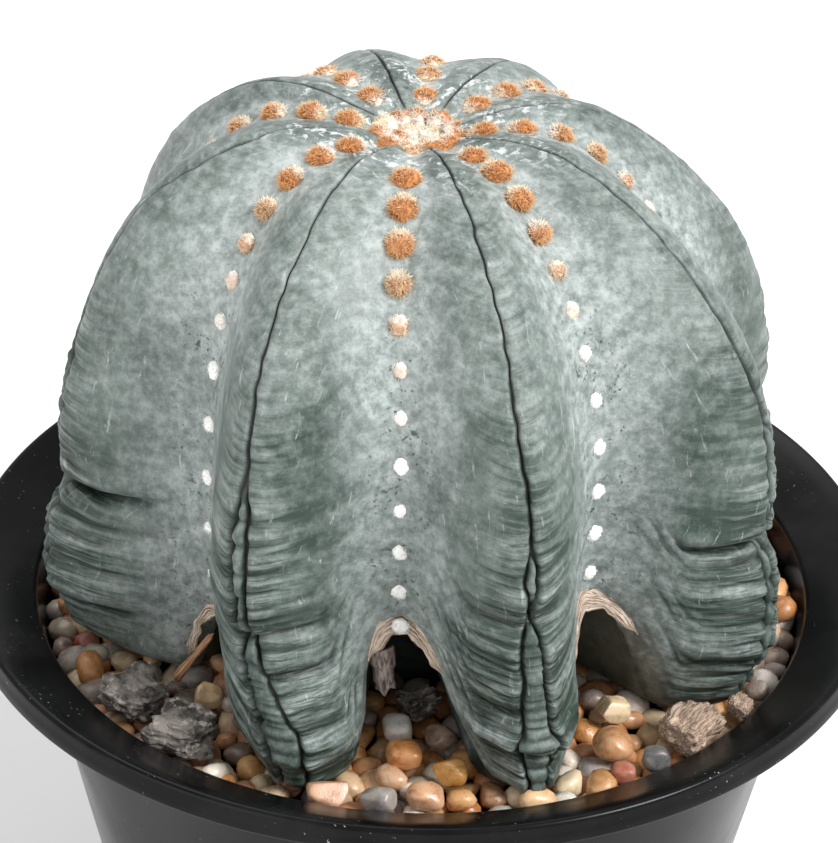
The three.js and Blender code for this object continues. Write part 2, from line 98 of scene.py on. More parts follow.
# Each rib with the valley before it, as in the CAD part. Four values add what only shows close up: "strip" is
# the half width of the split along the crest, as (height, half width) from the crown down, "tuck" the height
# of a second fold, "tuck_fold" its strength, and "on_rim" how far before the valley's end one more dot sits.
# Here "start" runs along the valley from the middle of the crown to the middle of the row's first tuft.
HAIRLINE = 0.13
RIBS = [
    dict(row="left", crest=-76, valley=-98, reach=1, stride=0, shift=0, sag=0.5,
         stance=(0.72, 0.72),
         pinch=30.7, fold=3.5, belly=3.2, toe=0, start=12, tuck=9, tuck_fold=0.4,
         strip=[(60, HAIRLINE), (52, 1.2), (40, 1.0), (34, 0.4), (28, 1.6), (12, 1.9), (0, 1.2)]),
    dict(row="front_left", crest=-27, valley=-48, reach=1, stride=9, shift=0, sag=8.5,
         stance=(0.55, 0.44),
         pinch=27, fold=1.8, belly=1, toe=1.2, start=15, tuck=4, tuck_fold=0.5,
         strip=[(56, HAIRLINE), (52, 0.9), (45, 1.4), (38, 1.6), (32, 0.9), (27.5, 1.1), (23, 2.2),
                (17, 3.6), (8, 4.6), (0, 3)]),
    dict(row="front", crest=16, valley=-4.5, reach=1, stride=2.3, shift=3, sag=0.4,
         stance=(0.4, 0.6),
         pinch=34.5, fold=1.2, belly=1.4, toe=3.4, start=21.4, on_rim=1.0, tuck=8.5, tuck_fold=1.0,
         strip=[(47, HAIRLINE), (44, 1.2), (40, 1.3), (36.5, 0.4), (34.5, HAIRLINE), (31, 2.1),
                (22, 3.2), (10, 4.6), (0, 4)]),
    dict(row="front_right", crest=61, valley=36, reach=1.03, stride=-2, shift=0, sag=1,
         stance=(0.44, 0.55),
         pinch=31.5, fold=2.5, belly=2.8, toe=0, start=15.8, tuck=10, tuck_fold=0.5,
         strip=[(58, HAIRLINE), (50, 1.2), (42, 1.4), (34, 0.5), (29, 1.5), (12, 1.9), (0, 1.4)]),
    dict(row="right", crest=106, valley=83, reach=0.985, stride=0, shift=0, sag=2.5,
         stance=(0.56, 0.56),
         pinch=32.7, fold=4, belly=3, toe=0, start=11.4, tuck=8, tuck_fold=0.6,
         strip=[(44, HAIRLINE), (38, 1.2), (31, 0.5), (24, 2.2), (8, 3.2), (0, 2)]),
    dict(row="back_right", crest=151, valley=129, reach=0.98, stride=0, shift=0, sag=0,
         stance=(0.58, 0.58),
         pinch=18.7, fold=3, belly=1, toe=0.6, start=13, tuck=6, tuck_fold=0.5,
         strip=[(40, HAIRLINE), (34, 1.4), (24, 1.6), (18, 0.5), (12, 2.6), (0, 3)]),
    dict(row="back", crest=197, valley=175, reach=0.98, stride=0, shift=0, sag=1.5,
         stance=(0.55, 0.55),
         pinch=23.7, fold=3, belly=1, toe=0.8, start=12, tuck=9, tuck_fold=0.8,
         strip=[(52, HAIRLINE), (46, 1.3), (30, 1.2), (24, 0.5), (18, 2.4), (6, 3.6), (0, 3)]),
    dict(row="back_left", crest=240, valley=219, reach=1, stride=0, shift=0, sag=3.5,
         stance=(0.57, 0.57),
         pinch=28.7, fold=3, belly=1, toe=0, start=13.5, tuck=7, tuck_fold=0.6,
         strip=[(48, HAIRLINE), (43, 1.1), (33, 1.3), (28, 0.5), (22, 2), (8, 3), (0, 2.2)]),
]
COUNT = len(RIBS)


def smooth(low, high, x):
    t = np.clip((x - low) / (high - low), 0, 1)
    return t * t * (3 - 2 * t)


def mix(a, b, t):
    return a + (b - a) * t


def bump(x, width):
    return np.exp(-((x / width) ** 2))


def unit(vectors):
    return vectors / np.linalg.norm(vectors, axis=-1, keepdims=True)


def rib_values(key):
    return np.array([rib[key] for rib in RIBS], float)


def outline(shares, radius, bottom, top, steps=60):
    """A chordal Catmull-Rom curve through the outline: (share of length -> radius and height, length)."""
    points = np.array([(r * radius, bottom + h * (top - bottom)) for r, h in shares])
    points = np.vstack([2 * points[0] - points[1], points, 2 * points[-1] - points[-2]])
    line = []
    for p0, p1, p2, p3 in zip(points, points[1:], points[2:], points[3:]):
        d0, d1, d2 = (np.linalg.norm(b - a) for a, b in ((p0, p1), (p1, p2), (p2, p3)))
        t1 = ((p1 - p0) / d0 - (p2 - p0) / (d0 + d1) + (p2 - p1) / d1) * d1
        t2 = ((p2 - p1) / d1 - (p3 - p1) / (d1 + d2) + (p3 - p2) / d2) * d1
        t = np.linspace(0, 1, steps, endpoint=False)[:, None]
        line.append((2 * t**3 - 3 * t**2 + 1) * p1 + (t**3 - 2 * t**2 + t) * t1
                    + (3 * t**2 - 2 * t**3) * p2 + (t**3 - t**2) * t2)
    line = np.vstack(line + [points[-2:-1]])
    along = np.concatenate([[0], np.cumsum(np.linalg.norm(np.diff(line, axis=0), axis=1))])
    share = along / along[-1]

    def at(s):
        return np.interp(s, share, line[:, 0]), np.interp(s, share, line[:, 1])
    return at, along[-1]


crest_at, CREST_LENGTH = outline(CREST_OUTLINE, STEM_RADIUS, 0, STEM_HEIGHT)
valley_at, VALLEY_LENGTH = outline(VALLEY_OUTLINE, VALLEY_RADIUS, ARCH_HEIGHT, STEM_HEIGHT)


def rib_azimuth(i, u):
    crest = rib_values("crest")
    valley = rib_values("valley")
    after = np.append(valley[1:], valley[0] + 360)
    return np.where(u < 0, crest[i] + u * (crest[i] - valley[i]), crest[i] + u * (after[i] - crest[i]))


def rib_wander(i, u):
    shift = rib_values("shift")[np.where(u < 0, i, (i + 1) % COUNT)]
    crest_share = np.cos(u * np.pi / 2) ** 2
    return rib_values("stride")[i] * crest_share + shift * (1 - crest_share)


def polar(azimuth, radius, height):
    angle = np.radians(azimuth)
    return np.stack([radius * np.sin(angle), -radius * np.cos(angle), height + 0 * radius], -1)


def stem_point(i, u, s):
    """The stem's skin before its fine detail: rib i, u across it from -1 to 1, s from crown to lower edge."""
    crest_share = np.cos(u * np.pi / 2) ** 2
    stance = rib_values("stance")[i, (u >= 0).astype(int)]
    across = np.minimum(1, (1 - np.abs(u)) / (1 - stance))
    arch = 1 - (1 - across**ARCH_POWER) ** ARCH_FLARE
    drop_share = mix(crest_share, arch, smooth(0.35, 1, s))
    crest_r, crest_h = crest_at(s)
    valley_r, valley_h = valley_at(s)
    sag = rib_values("sag")[np.where(u < 0, i, (i + 1) % COUNT)]
    height = mix(valley_h - sag * smooth(SAG_START, 1, s), crest_h, drop_share)
    pinch = rib_values("pinch")[i]
    crease = -rib_values("fold")[i] * bump(height - pinch - CREASE_RISE * np.abs(u), CREASE_WIDTH)
    bulge = rib_values("belly")[i] * bump(height - pinch + BELLY_DROP, BELLY_WIDTH)
    bulge = bulge + rib_values("toe")[i] * bump(height, TOE_HEIGHT)
    radius = mix(valley_r, crest_r * rib_values("reach")[i], crest_share)
    radius = radius + (crease + bulge) * crest_share**0.7
    wander = rib_wander(i, u) * (1 - smooth(0, WANDER_START, height))
    point = polar(rib_azimuth(i, u) + wander, radius, SOLE + height)
    point[..., 0] -= CROWN_LEAN * smooth(LEAN_START, STEM_HEIGHT, height)
    return point


# ---------------------------------------------------------------- repeatable noise
def lattice(ix, iy, iz, seed):
    """A fixed pseudo-random number from -1 to 1 for each whole-number point."""
    h = (ix * 374761393 + iy * 668265263 + iz * 2147483647 + seed * 974634777) & 0xFFFFFFFF
    h = ((h ^ (h >> 13)) * 1274126177) & 0xFFFFFFFF
    h = ((h ^ (h >> 16)) * 2246822519) & 0xFFFFFFFF
    return (h ^ (h >> 15)) / 2147483647.5 - 1


def noise(points, scale, seed=0):
    """Smooth noise from about -1 to 1 with features about scale across."""
    p = np.asarray(points, float) / scale
    whole = np.floor(p).astype(np.int64)
    t = p - whole
    t = t * t * (3 - 2 * t)
    x, y, z = (whole[..., k] for k in range(3))
    tx, ty, tz = (t[..., k] for k in range(3))
    total = 0
    for dx in (0, 1):
        for dy in (0, 1):
            for dz in (0, 1):
                weight = (tx if dx else 1 - tx) * (ty if dy else 1 - ty) * (tz if dz else 1 - tz)
                total = total + weight * lattice(x + dx, y + dy, z + dz, seed)
    return total


def layered(points, scale, octaves=3, seed=0):
    return sum(noise(points, scale / 2**k, seed + k) / 2**k for k in range(octaves))


def line_noise(x, scale, seed=0):
    """Noise along one or two coordinates."""
    coords = x if isinstance(x, tuple) else (x,)
    coords = np.broadcast_arrays(*coords, 0.0, 0.0)[:3]
    return noise(np.stack(coords, -1), scale, seed)


# ---------------------------------------------------------------- meshes
def add_object(name, data):
    piece = bpy.data.objects.new(name, data)
    bpy.context.scene.collection.objects.link(piece)
    return piece


def build(name, points, faces, material, attributes=None):
    """A mesh object from points in millimetres. attributes maps a name to one number or colour per point."""
    mesh = bpy.data.meshes.new(name)
    mesh.from_pydata((np.asarray(points) * MM).tolist(), [], [tuple(f) for f in faces])
    mesh.materials.append(material)
    for key, values in (attributes or {}).items():
        values = np.asarray(values, np.float32)
        if values.ndim == 1:
            mesh.attributes.new(key, "FLOAT", "POINT").data.foreach_set("value", values)
        else:
            colour = np.hstack([values[:, :3], np.ones((len(values), 1), np.float32)]).astype(np.float32)
            mesh.attributes.new(key, "FLOAT_COLOR", "POINT").data.foreach_set("color", colour.ravel())
    mesh.polygons.foreach_set("use_smooth", np.ones(len(mesh.polygons), bool))
    mesh.validate()
    mesh.update()
    return add_object(name, mesh)


def place(piece, slot, *nodes):
    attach(piece, "root")
    if nodes:
        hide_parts(*nodes)
    return piece


def grid_faces(rows, columns):
    """Quads between rings of columns points each, closed round each ring."""
    j = np.arange(columns)
    k = (j + 1) % columns
    return np.vstack([np.stack([i * columns + j, (i + 1) * columns + j, (i + 1) * columns + k,
                                i * columns + k], -1) for i in range(rows - 1)])


def cap_faces(first, columns, pole, flip):
    j = np.arange(columns)
    k = (j + 1) % columns
    fan = np.stack([np.full(columns, pole), first + j, first + k], -1)
    return fan[:, ::-1] if flip else fan


def pointed_faces(rows, columns):
    """Faces of a skin of rings that closes on a point at each end. Those points follow the rings."""
    poles = rows * columns
    caps = [cap_faces(0, columns, poles, False), cap_faces(poles - columns, columns, poles + 1, True)]
    return grid_faces(rows, columns).tolist() + np.vstack(caps).tolist()


def tube_faces(rows, columns):
    """Faces of a skin of rings with a flat end at each end."""
    last = (rows - 1) * columns
    ends = [list(range(columns))[::-1], list(range(last, last + columns))]
    return grid_faces(rows, columns).tolist() + ends


def taken_from(bm):
    """The points and faces of a bmesh, which is then freed."""
    points = np.array([v.co for v in bm.verts])
    faces = [[v.index for v in f.verts] for f in bm.faces]
    bm.free()
    return points, faces


def ball(detail):
    """Unit icosphere: (points, triangles)."""
    bm = bmesh.new()
    bmesh.ops.create_icosphere(bm, subdivisions=detail, radius=1)
    return taken_from(bm)


class Heap:
    """Collects many small shapes into one mesh."""

    def __init__(self):
        self.points, self.faces, self.values, self.size = [], [], {}, 0

    def add(self, points, faces, **values):
        self.points.append(points)
        self.faces.extend([[corner + self.size for corner in face] for face in faces])
        for key, value in values.items():
            value = np.asarray(value, float)
            if value.ndim == 0 or (value.ndim == 1 and value.size == 3 and len(points) != 3):
                value = np.broadcast_to(value, (len(points),) + value.shape)
            self.values.setdefault(key, []).append(value)
        self.size += len(points)

    def build(self, name, material):
        values = {key: np.concatenate(value) for key, value in self.values.items()}
        return build(name, np.concatenate(self.points), self.faces, material, values)


# ---------------------------------------------------------------- material helpers
class Nodes:
    """Short calls for building a node tree."""

    def __init__(self, name):
        self.material = bpy.data.materials.new(name)
        self.material.use_nodes = True
        self.tree = self.material.node_tree
        self.tree.nodes.clear()
        self.output = self.tree.nodes.new("ShaderNodeOutputMaterial")
        self.shader = self.tree.nodes.new("ShaderNodeBsdfPrincipled")
        self.tree.links.new(self.shader.outputs[0], self.output.inputs["Surface"])

    def put(self, socket, value):
        if isinstance(value, bpy.types.NodeSocket):
            self.tree.links.new(value, socket)
        elif value is not None:
            if isinstance(value, tuple) and len(value) == 3 and len(socket.default_value) == 4:
                value = (*value, 1)
            socket.default_value = value

    def set(self, **values):
        for key, value in values.items():
            self.put(self.shader.inputs[key.replace("_", " ")], value)

    def node(self, kind, inputs=(), **settings):
        """A new node with its settings, and its inputs as pairs of a name or number and a value."""
        node = self.tree.nodes.new("ShaderNode" + kind)
        for key, value in settings.items():
            setattr(node, key, value)
        for key, value in inputs:
            self.put(node.inputs[key], value)
        return node

    def position(self):
        return self.node("TexCoord").outputs["Object"]

    def attribute(self, name, colour=False):
        return self.node("Attribute", attribute_name=name).outputs["Color" if colour else "Fac"]

    def math(self, operation, a, b=None, c=None, clamp=False):
        return self.node("Math", enumerate((a, b, c)), operation=operation, use_clamp=clamp).outputs[0]

    def times(self, a, b):
        return self.math("MULTIPLY", a, b)

    def plus(self, a, b, clamp=False):
        return self.math("ADD", a, b, clamp=clamp)

    def swing(self, value, size):
        """How far the value lies from a half, times size."""
        return self.times(self.math("SUBTRACT", value, 0.5), size)

    def ramp(self, value, low, high, to_low=0.0, to_high=1.0):
        inputs = zip(("Value", "From Min", "From Max", "To Min", "To Max"),
                     (value, low, high, to_low, to_high))
        return self.node("MapRange", inputs, interpolation_type="SMOOTHSTEP").outputs[0]

    def mix(self, factor, a, b):
        return self.node("Mix", (("Factor", factor), ("A", a), ("B", b)), data_type="RGBA").outputs["Result"]

    def noise(self, vector, scale, detail=3.0, roughness=0.55, distortion=0.0):
        inputs = zip(("Vector", "Scale", "Detail", "Roughness", "Distortion"),
                     (vector, scale, detail, roughness, distortion))
        return self.node("TexNoise", inputs).outputs["Fac"]

    def cells(self, vector, scale):
        return self.node("TexVoronoi", (("Vector", vector), ("Scale", scale))).outputs["Distance"]

    def stretched(self, vector, scale):
        return self.node("Mapping", (("Vector", vector), ("Scale", scale))).outputs[0]

    def combine(self, x, y, z):
        return self.node("CombineXYZ", enumerate((x, y, z))).outputs[0]

    def height(self, vector):
        return self.node("SeparateXYZ", ((0, vector),)).outputs["Z"]

    def bump(self, height, distance, strength=1.0, normal=None):
        inputs = (("Strength", strength), ("Distance", distance), ("Height", height), ("Normal", normal))
        return self.node("Bump", inputs).outputs[0]


# ---------------------------------------------------------------- materials
def stem_skin():
    """Waxy grey-green skin: pale wax in the valleys, paler towards the top, streaks across the ribs, dark
    specks, painted shade in the grooves, folds and pleat troughs, and painted highlights on the pleat ridges.
    """
    n = Nodes("stem_skin")
    spot = n.position()
    along = n.attribute("along")
    across = n.attribute("across")
    bloom_and_painted_light = n.attribute("bloom_and_painted_light")
    crown = n.attribute("crown")
    wrinkle = n.attribute("wrinkle")
    # Streaks run across the ribs: slow across, quick along the rib's length.
    streak_place = n.combine(n.times(across, 0.10), 0.0, along)
    streaks = n.noise(streak_place, 0.42, 4, 0.6, 0.15)
    patches = n.noise(spot, 70, 3, 0.5, 0.3)
    mottle = n.noise(spot, 520, 5, 0.72)
    # The pale-wax mask also carries painted light: paler pleat ridges, darker pleat troughs and darker crests
    # low down.
    cover = n.plus(bloom_and_painted_light, n.swing(patches, 0.8))
    cover = n.plus(cover, n.swing(streaks, n.math("MULTIPLY_ADD", wrinkle, 2.0, 0.55)))
    cover = n.plus(cover, n.swing(mottle, 0.7), clamp=True)
    green = n.mix(n.ramp(patches, 0.3, 0.7), (0.022, 0.043, 0.032), (0.058, 0.088, 0.070))
    pale = n.mix(n.ramp(mottle, 0.3, 0.7), (0.235, 0.272, 0.258), (0.47, 0.515, 0.505))
    skin = n.mix(cover, green, pale)
    # The finest pleats: painted shade as a thin dark line in each pleat's trough and a painted highlight on
    # the ridge between them.
    jitter = n.times(n.noise(streak_place, 0.9, 3, 0.6), 1.1)
    phase = n.plus(n.attribute("phase"), jitter)
    ridge = n.math("ABSOLUTE", n.math("SINE", n.times(phase, math.pi)))
    broken = n.times(wrinkle, n.ramp(n.noise(streak_place, 0.7, 2), 0.36, 0.6))
    painted_pleat_shade = n.times(n.ramp(ridge, 0.26, 0.02), n.times(broken, 0.85))
    painted_pleat_highlight = n.times(n.ramp(ridge, 0.7, 1.0), n.times(broken, 0.4))
    skin = n.mix(painted_pleat_highlight, skin, (0.36, 0.42, 0.38))
    skin = n.mix(painted_pleat_shade, skin, n.mix(0.85, skin, (0.010, 0.020, 0.014)))
    # White scuffs that run down the flanks, and flakes of wax near the crown.
    scuff_place = n.combine(n.times(across, 0.9), 0.0, n.times(along, 0.22))
    scuff = n.ramp(n.noise(scuff_place, 0.8, 5, 0.7, 0.4), 0.60, 0.72)
    skin = n.mix(n.times(scuff, 0.55), skin, (0.60, 0.64, 0.62))
    flakes = n.ramp(n.noise(spot, 420, 5, 0.72, 0.8), 0.53, 0.62)
    skin = n.mix(n.times(flakes, n.times(crown, 0.9)), skin, (0.72, 0.76, 0.75))
    # Fine dark specks, thickest beside the rows of areoles.
    specks = n.ramp(n.noise(spot, 1100, 3, 0.6), 0.58, 0.66)
    specks = n.times(specks, n.ramp(n.noise(spot, 160, 2), 0.40, 0.56))
    specks = n.times(specks, n.attribute("speck"))
    skin = n.mix(n.times(specks, 0.9), skin, (0.025, 0.03, 0.03))
    # Painted shade in the troughs between pleats, between the beads of the split and in the notches of its
    # lips.
    skin = n.mix(n.attribute("hollow_shade"), skin, n.mix(0.9, skin, (0.006, 0.013, 0.009)))
    # Painted shade: near black along the split's grooves and in the deep folds.
    skin = n.mix(n.attribute("groove"), skin, (0.003, 0.005, 0.003))
    n.set(Base_Color=skin)
    n.set(Roughness=n.ramp(mottle, 0.2, 0.8, 0.36, 0.58))
    n.set(Specular_IOR_Level=0.42)
    relief = n.bump(n.times(n.math("POWER", ridge, 0.6), broken), 0.00035, 0.8)
    n.set(Normal=n.bump(mottle, 0.0004, 0.4, relief))
    return n.material


def wool(name):
    """Fluff coloured by its own points: dark rust at the root, cream at the tip."""
    n = Nodes(name)
    tint = n.attribute("tint", colour=True)
    shade = n.noise(n.position(), 2200, 2)
    n.set(Base_Color=n.mix(n.ramp(shade, 0.35, 0.7, 0.0, 0.10), tint, (0.95, 0.9, 0.82)))
    n.set(Roughness=0.9, Specular_IOR_Level=0.15)
    n.set(Sheen_Weight=0.12, Sheen_Roughness=0.5)
    n.set(Normal=n.bump(shade, 0.0002, 0.4))
    return n.material


def worn_stone(name):
    """Smooth gravel: each stone's own tint, with mottling, veins and a slight polish."""
    n = Nodes(name)
    tint = n.attribute("tint", colour=True)
    spot = n.position()
    clouds = n.noise(spot, 260, 4, 0.6, 0.6)
    grain = n.noise(spot, 2600, 3, 0.6)
    stone = n.mix(n.ramp(clouds, 0.4, 0.75, 0.0, 0.7), tint, n.mix(0.4, tint, (0.80, 0.60, 0.42)))
    stone = n.mix(n.ramp(clouds, 0.55, 0.3, 0.0, 0.6), stone, n.mix(0.7, tint, (0.08, 0.035, 0.02)))
    stone = n.mix(n.ramp(grain, 0.62, 0.72, 0.0, 0.5), stone, (0.12, 0.09, 0.075))
    n.set(Base_Color=stone)
    n.set(Roughness=n.ramp(clouds, 0.3, 0.7, 0.2, 0.38))
    n.set(Specular_IOR_Level=0.6)
    n.set(Normal=n.bump(grain, 0.00025, 0.25, n.bump(clouds, 0.0006, 0.25)))
    return n.material


def weathered_bark():
    n = Nodes("weathered_bark")
    spot = n.position()
    layers = n.noise(n.stretched(spot, (160, 160, 700)), 1.0, 4, 0.65, 0.5)
    clouds = n.noise(spot, 500, 5, 0.7)
    bark = n.mix(n.ramp(layers, 0.35, 0.65), (0.06, 0.05, 0.043), (0.30, 0.265, 0.24))
    bark = n.mix(n.ramp(clouds, 0.52, 0.62, 0.0, 0.85), bark, (0.50, 0.46, 0.42))
    bark = n.mix(n.ramp(clouds, 0.44, 0.3, 0.0, 0.9), bark, (0.02, 0.017, 0.015))
    n.set(Base_Color=bark, Roughness=0.9, Specular_IOR_Level=0.25)
    n.set(Normal=n.bump(layers, 0.001, 0.6, n.bump(clouds, 0.0008, 0.6)))
    return n.material


def dry_wood(name, stretch, dark, pale):
    """Broken wood with fibres along one axis of the piece's own grain attribute."""
    n = Nodes(name)
    grain = n.attribute("grain", colour=True)
    fibres = n.noise(n.stretched(grain, stretch), 1.0, 4, 0.7, 0.2)
    broad = n.noise(n.stretched(grain, tuple(k / 4 for k in stretch)), 1.0, 3, 0.6)
    wood = n.mix(n.ramp(fibres, 0.36, 0.62), dark, pale)
    wood = n.mix(n.ramp(broad, 0.5, 0.68, 0.0, 0.75), wood, tuple(min(1, c * 1.35) for c in pale))
    wood = n.mix(n.ramp(fibres, 0.38, 0.3, 0.0, 0.85), wood, tuple(c * 0.25 for c in dark))
    n.set(Base_Color=wood, Roughness=0.8, Specular_IOR_Level=0.3)
    n.set(Normal=n.bump(fibres, 0.0005, 0.6))
    return n.material


def pot_plastic():
    """Glossy black plastic with faint dust and water marks on the collar."""
    n = Nodes("pot_plastic")
    spot = n.position()
    collar = n.ramp(n.height(spot), (RIM - 9) * MM, (RIM - 5) * MM)
    haze = n.noise(spot, 45, 4, 0.6)
    dust = n.ramp(n.noise(spot, 1500, 2, 0.5), 0.70, 0.76)
    dust = n.times(dust, n.ramp(n.noise(spot, 60, 2), 0.4, 0.65))
    dust = n.times(dust, n.math("MULTIPLY_ADD", collar, 0.5, 0.15))
    film = n.times(n.ramp(haze, 0.45, 0.7), n.math("MULTIPLY_ADD", collar, 0.012, 0.002))
    black = n.mix(film, (0.0035, 0.0035, 0.004), (0.45, 0.45, 0.45))
    n.set(Base_Color=n.mix(dust, black, (0.62, 0.62, 0.60)))
    n.set(Roughness=n.ramp(haze, 0.35, 0.7, 0.2, 0.3))
    n.set(Specular_IOR_Level=0.14)
    n.set(Normal=n.bump(n.noise(spot, 220, 2), 0.0004, 0.05))
    return n.material


def damp_soil():
    n = Nodes("damp_soil")
    spot = n.position()
    crumbs = n.noise(spot, 380, 5, 0.7)
    soil = n.mix(n.ramp(crumbs, 0.35, 0.65), (0.012, 0.009, 0.007), (0.075, 0.052, 0.038))
    soil = n.mix(n.ramp(n.cells(spot, 260), 0.25, 0.12, 0.0, 0.5), soil, (0.22, 0.16, 0.11))
    n.set(Base_Color=soil, Roughness=0.95, Specular_IOR_Level=0.2)
    n.set(Normal=n.bump(crumbs, 0.002, 0.8))
    return n.material


def plain_floor():
    n = Nodes("plain_floor")
    tone = n.noise(n.position(), 3, 2)
    n.set(Base_Color=n.mix(n.ramp(tone, 0.3, 0.7), (0.86, 0.86, 0.86), (0.88, 0.88, 0.875)))
    n.set(Roughness=0.9, Specular_IOR_Level=0.2)
    return n.material


# ---------------------------------------------------------------- stem with its fine detail
OUTER_COLUMNS = 16  # from the split to the valley, on each side of a rib
INNER_SHARES = np.array([-1, -0.88, -0.66, -0.35, 0, 0.35, 0.66, 0.88, 1])  # across the split itself
CROWN_ROWS = 52
FLANK_ROWS = 232
CROWN_SHARE = 0.34  # of the length, which the coarser rows near the crown cover
SOLE_ROWS = 7
ROOT_SHARES = (0.14, 0.35, 0.6, 0.85)
ROOT_DEPTH = 58.0
EDGE_ROUNDING = 3.6


def row_shares():
    crown = np.linspace(0, CROWN_SHARE, CROWN_ROWS + 1)[1:]
    flank = np.linspace(CROWN_SHARE, 1, FLANK_ROWS + 1)[1:]
    return np.concatenate([crown, flank])


def half_widths(s):
    """Length over the skin from each rib's crest to its valleys: [rows, rib, side]."""
    steps = np.linspace(0, 1, 16)
    out = np.zeros((len(s), COUNT, 2))
    for side, sign in enumerate((-1, 1)):
        i, u = np.meshgrid(np.arange(COUNT), sign * steps, indexing="ij")
        points = stem_point(i[None], u[None], s[:, None, None])
        out[:, :, side] = np.linalg.norm(np.diff(points, axis=2), axis=3).sum(2)
    return np.maximum(out, 0.5)


def stem_grid():
    """Per point of the fine skin: rib, u, s, distance across from the crest and half width of the split."""
    s = row_shares()
    width = half_widths(s)
    crest_height = crest_at(s)[1]
    outer = (np.arange(1, OUTER_COLUMNS + 1) / OUTER_COLUMNS) ** 1.75
    ribs, us, split, offset = [], [], [], []
    for i, rib in enumerate(RIBS):
        heights, halves = zip(*sorted(rib["strip"]))
        ragged = 1 + 0.22 * line_noise((CREST_LENGTH * s, 7.0 * i), 2.1, 31)
        half = np.interp(crest_height, heights, halves) * ragged
        half = np.minimum(half, 0.3 * width[:, i].min(1))
        wobble = 1.3 * line_noise((CREST_LENGTH * s, 11.0 * i), 17, 32)
        wobble += 0.35 * line_noise((CREST_LENGTH * s, 5.0 * i), 2.3, 33)
        wobble = wobble * smooth(0, 14, width[:, i].min(1))
        inner = wobble[:, None] + half[:, None] * INNER_SHARES
        inner_u = inner / np.where(inner < 0, width[:, i, :1], width[:, i, 1:])
        left = inner_u[:, :1] + (-1 - inner_u[:, :1]) * outer[::-1]
        right = inner_u[:, -1:] + (1 - inner_u[:, -1:]) * outer[:-1]
        u = np.hstack([left, inner_u, right])
        ribs.append(np.full(u.shape, i))
        us.append(u)
        split.append(np.broadcast_to(half[:, None], u.shape))
        offset.append(np.broadcast_to(wobble[:, None], u.shape))
    i, u, half, wobble = (np.hstack(parts) for parts in (ribs, us, split, offset))
    s = np.broadcast_to(s[:, None], u.shape)
    rows = np.arange(len(s))[:, None]
    across = u * width[rows, i, (u >= 0).astype(int)] - wobble
    return i, u, s, across, half


def pleat(phase):
    """Rounded ridges with sharp valleys between them, from 0 to 1."""
    return np.abs(np.sin(np.pi * phase)) ** 0.6


# Pleats across the ribs: spacing, height near the crown, height near the feet, reach down the flank.
PLEATS = ((1.75, 0.02, 0.26, 6.0), (3.4, 0.02, 0.62, 8.5), (8.8, 0.0, 0.8, 13.0))


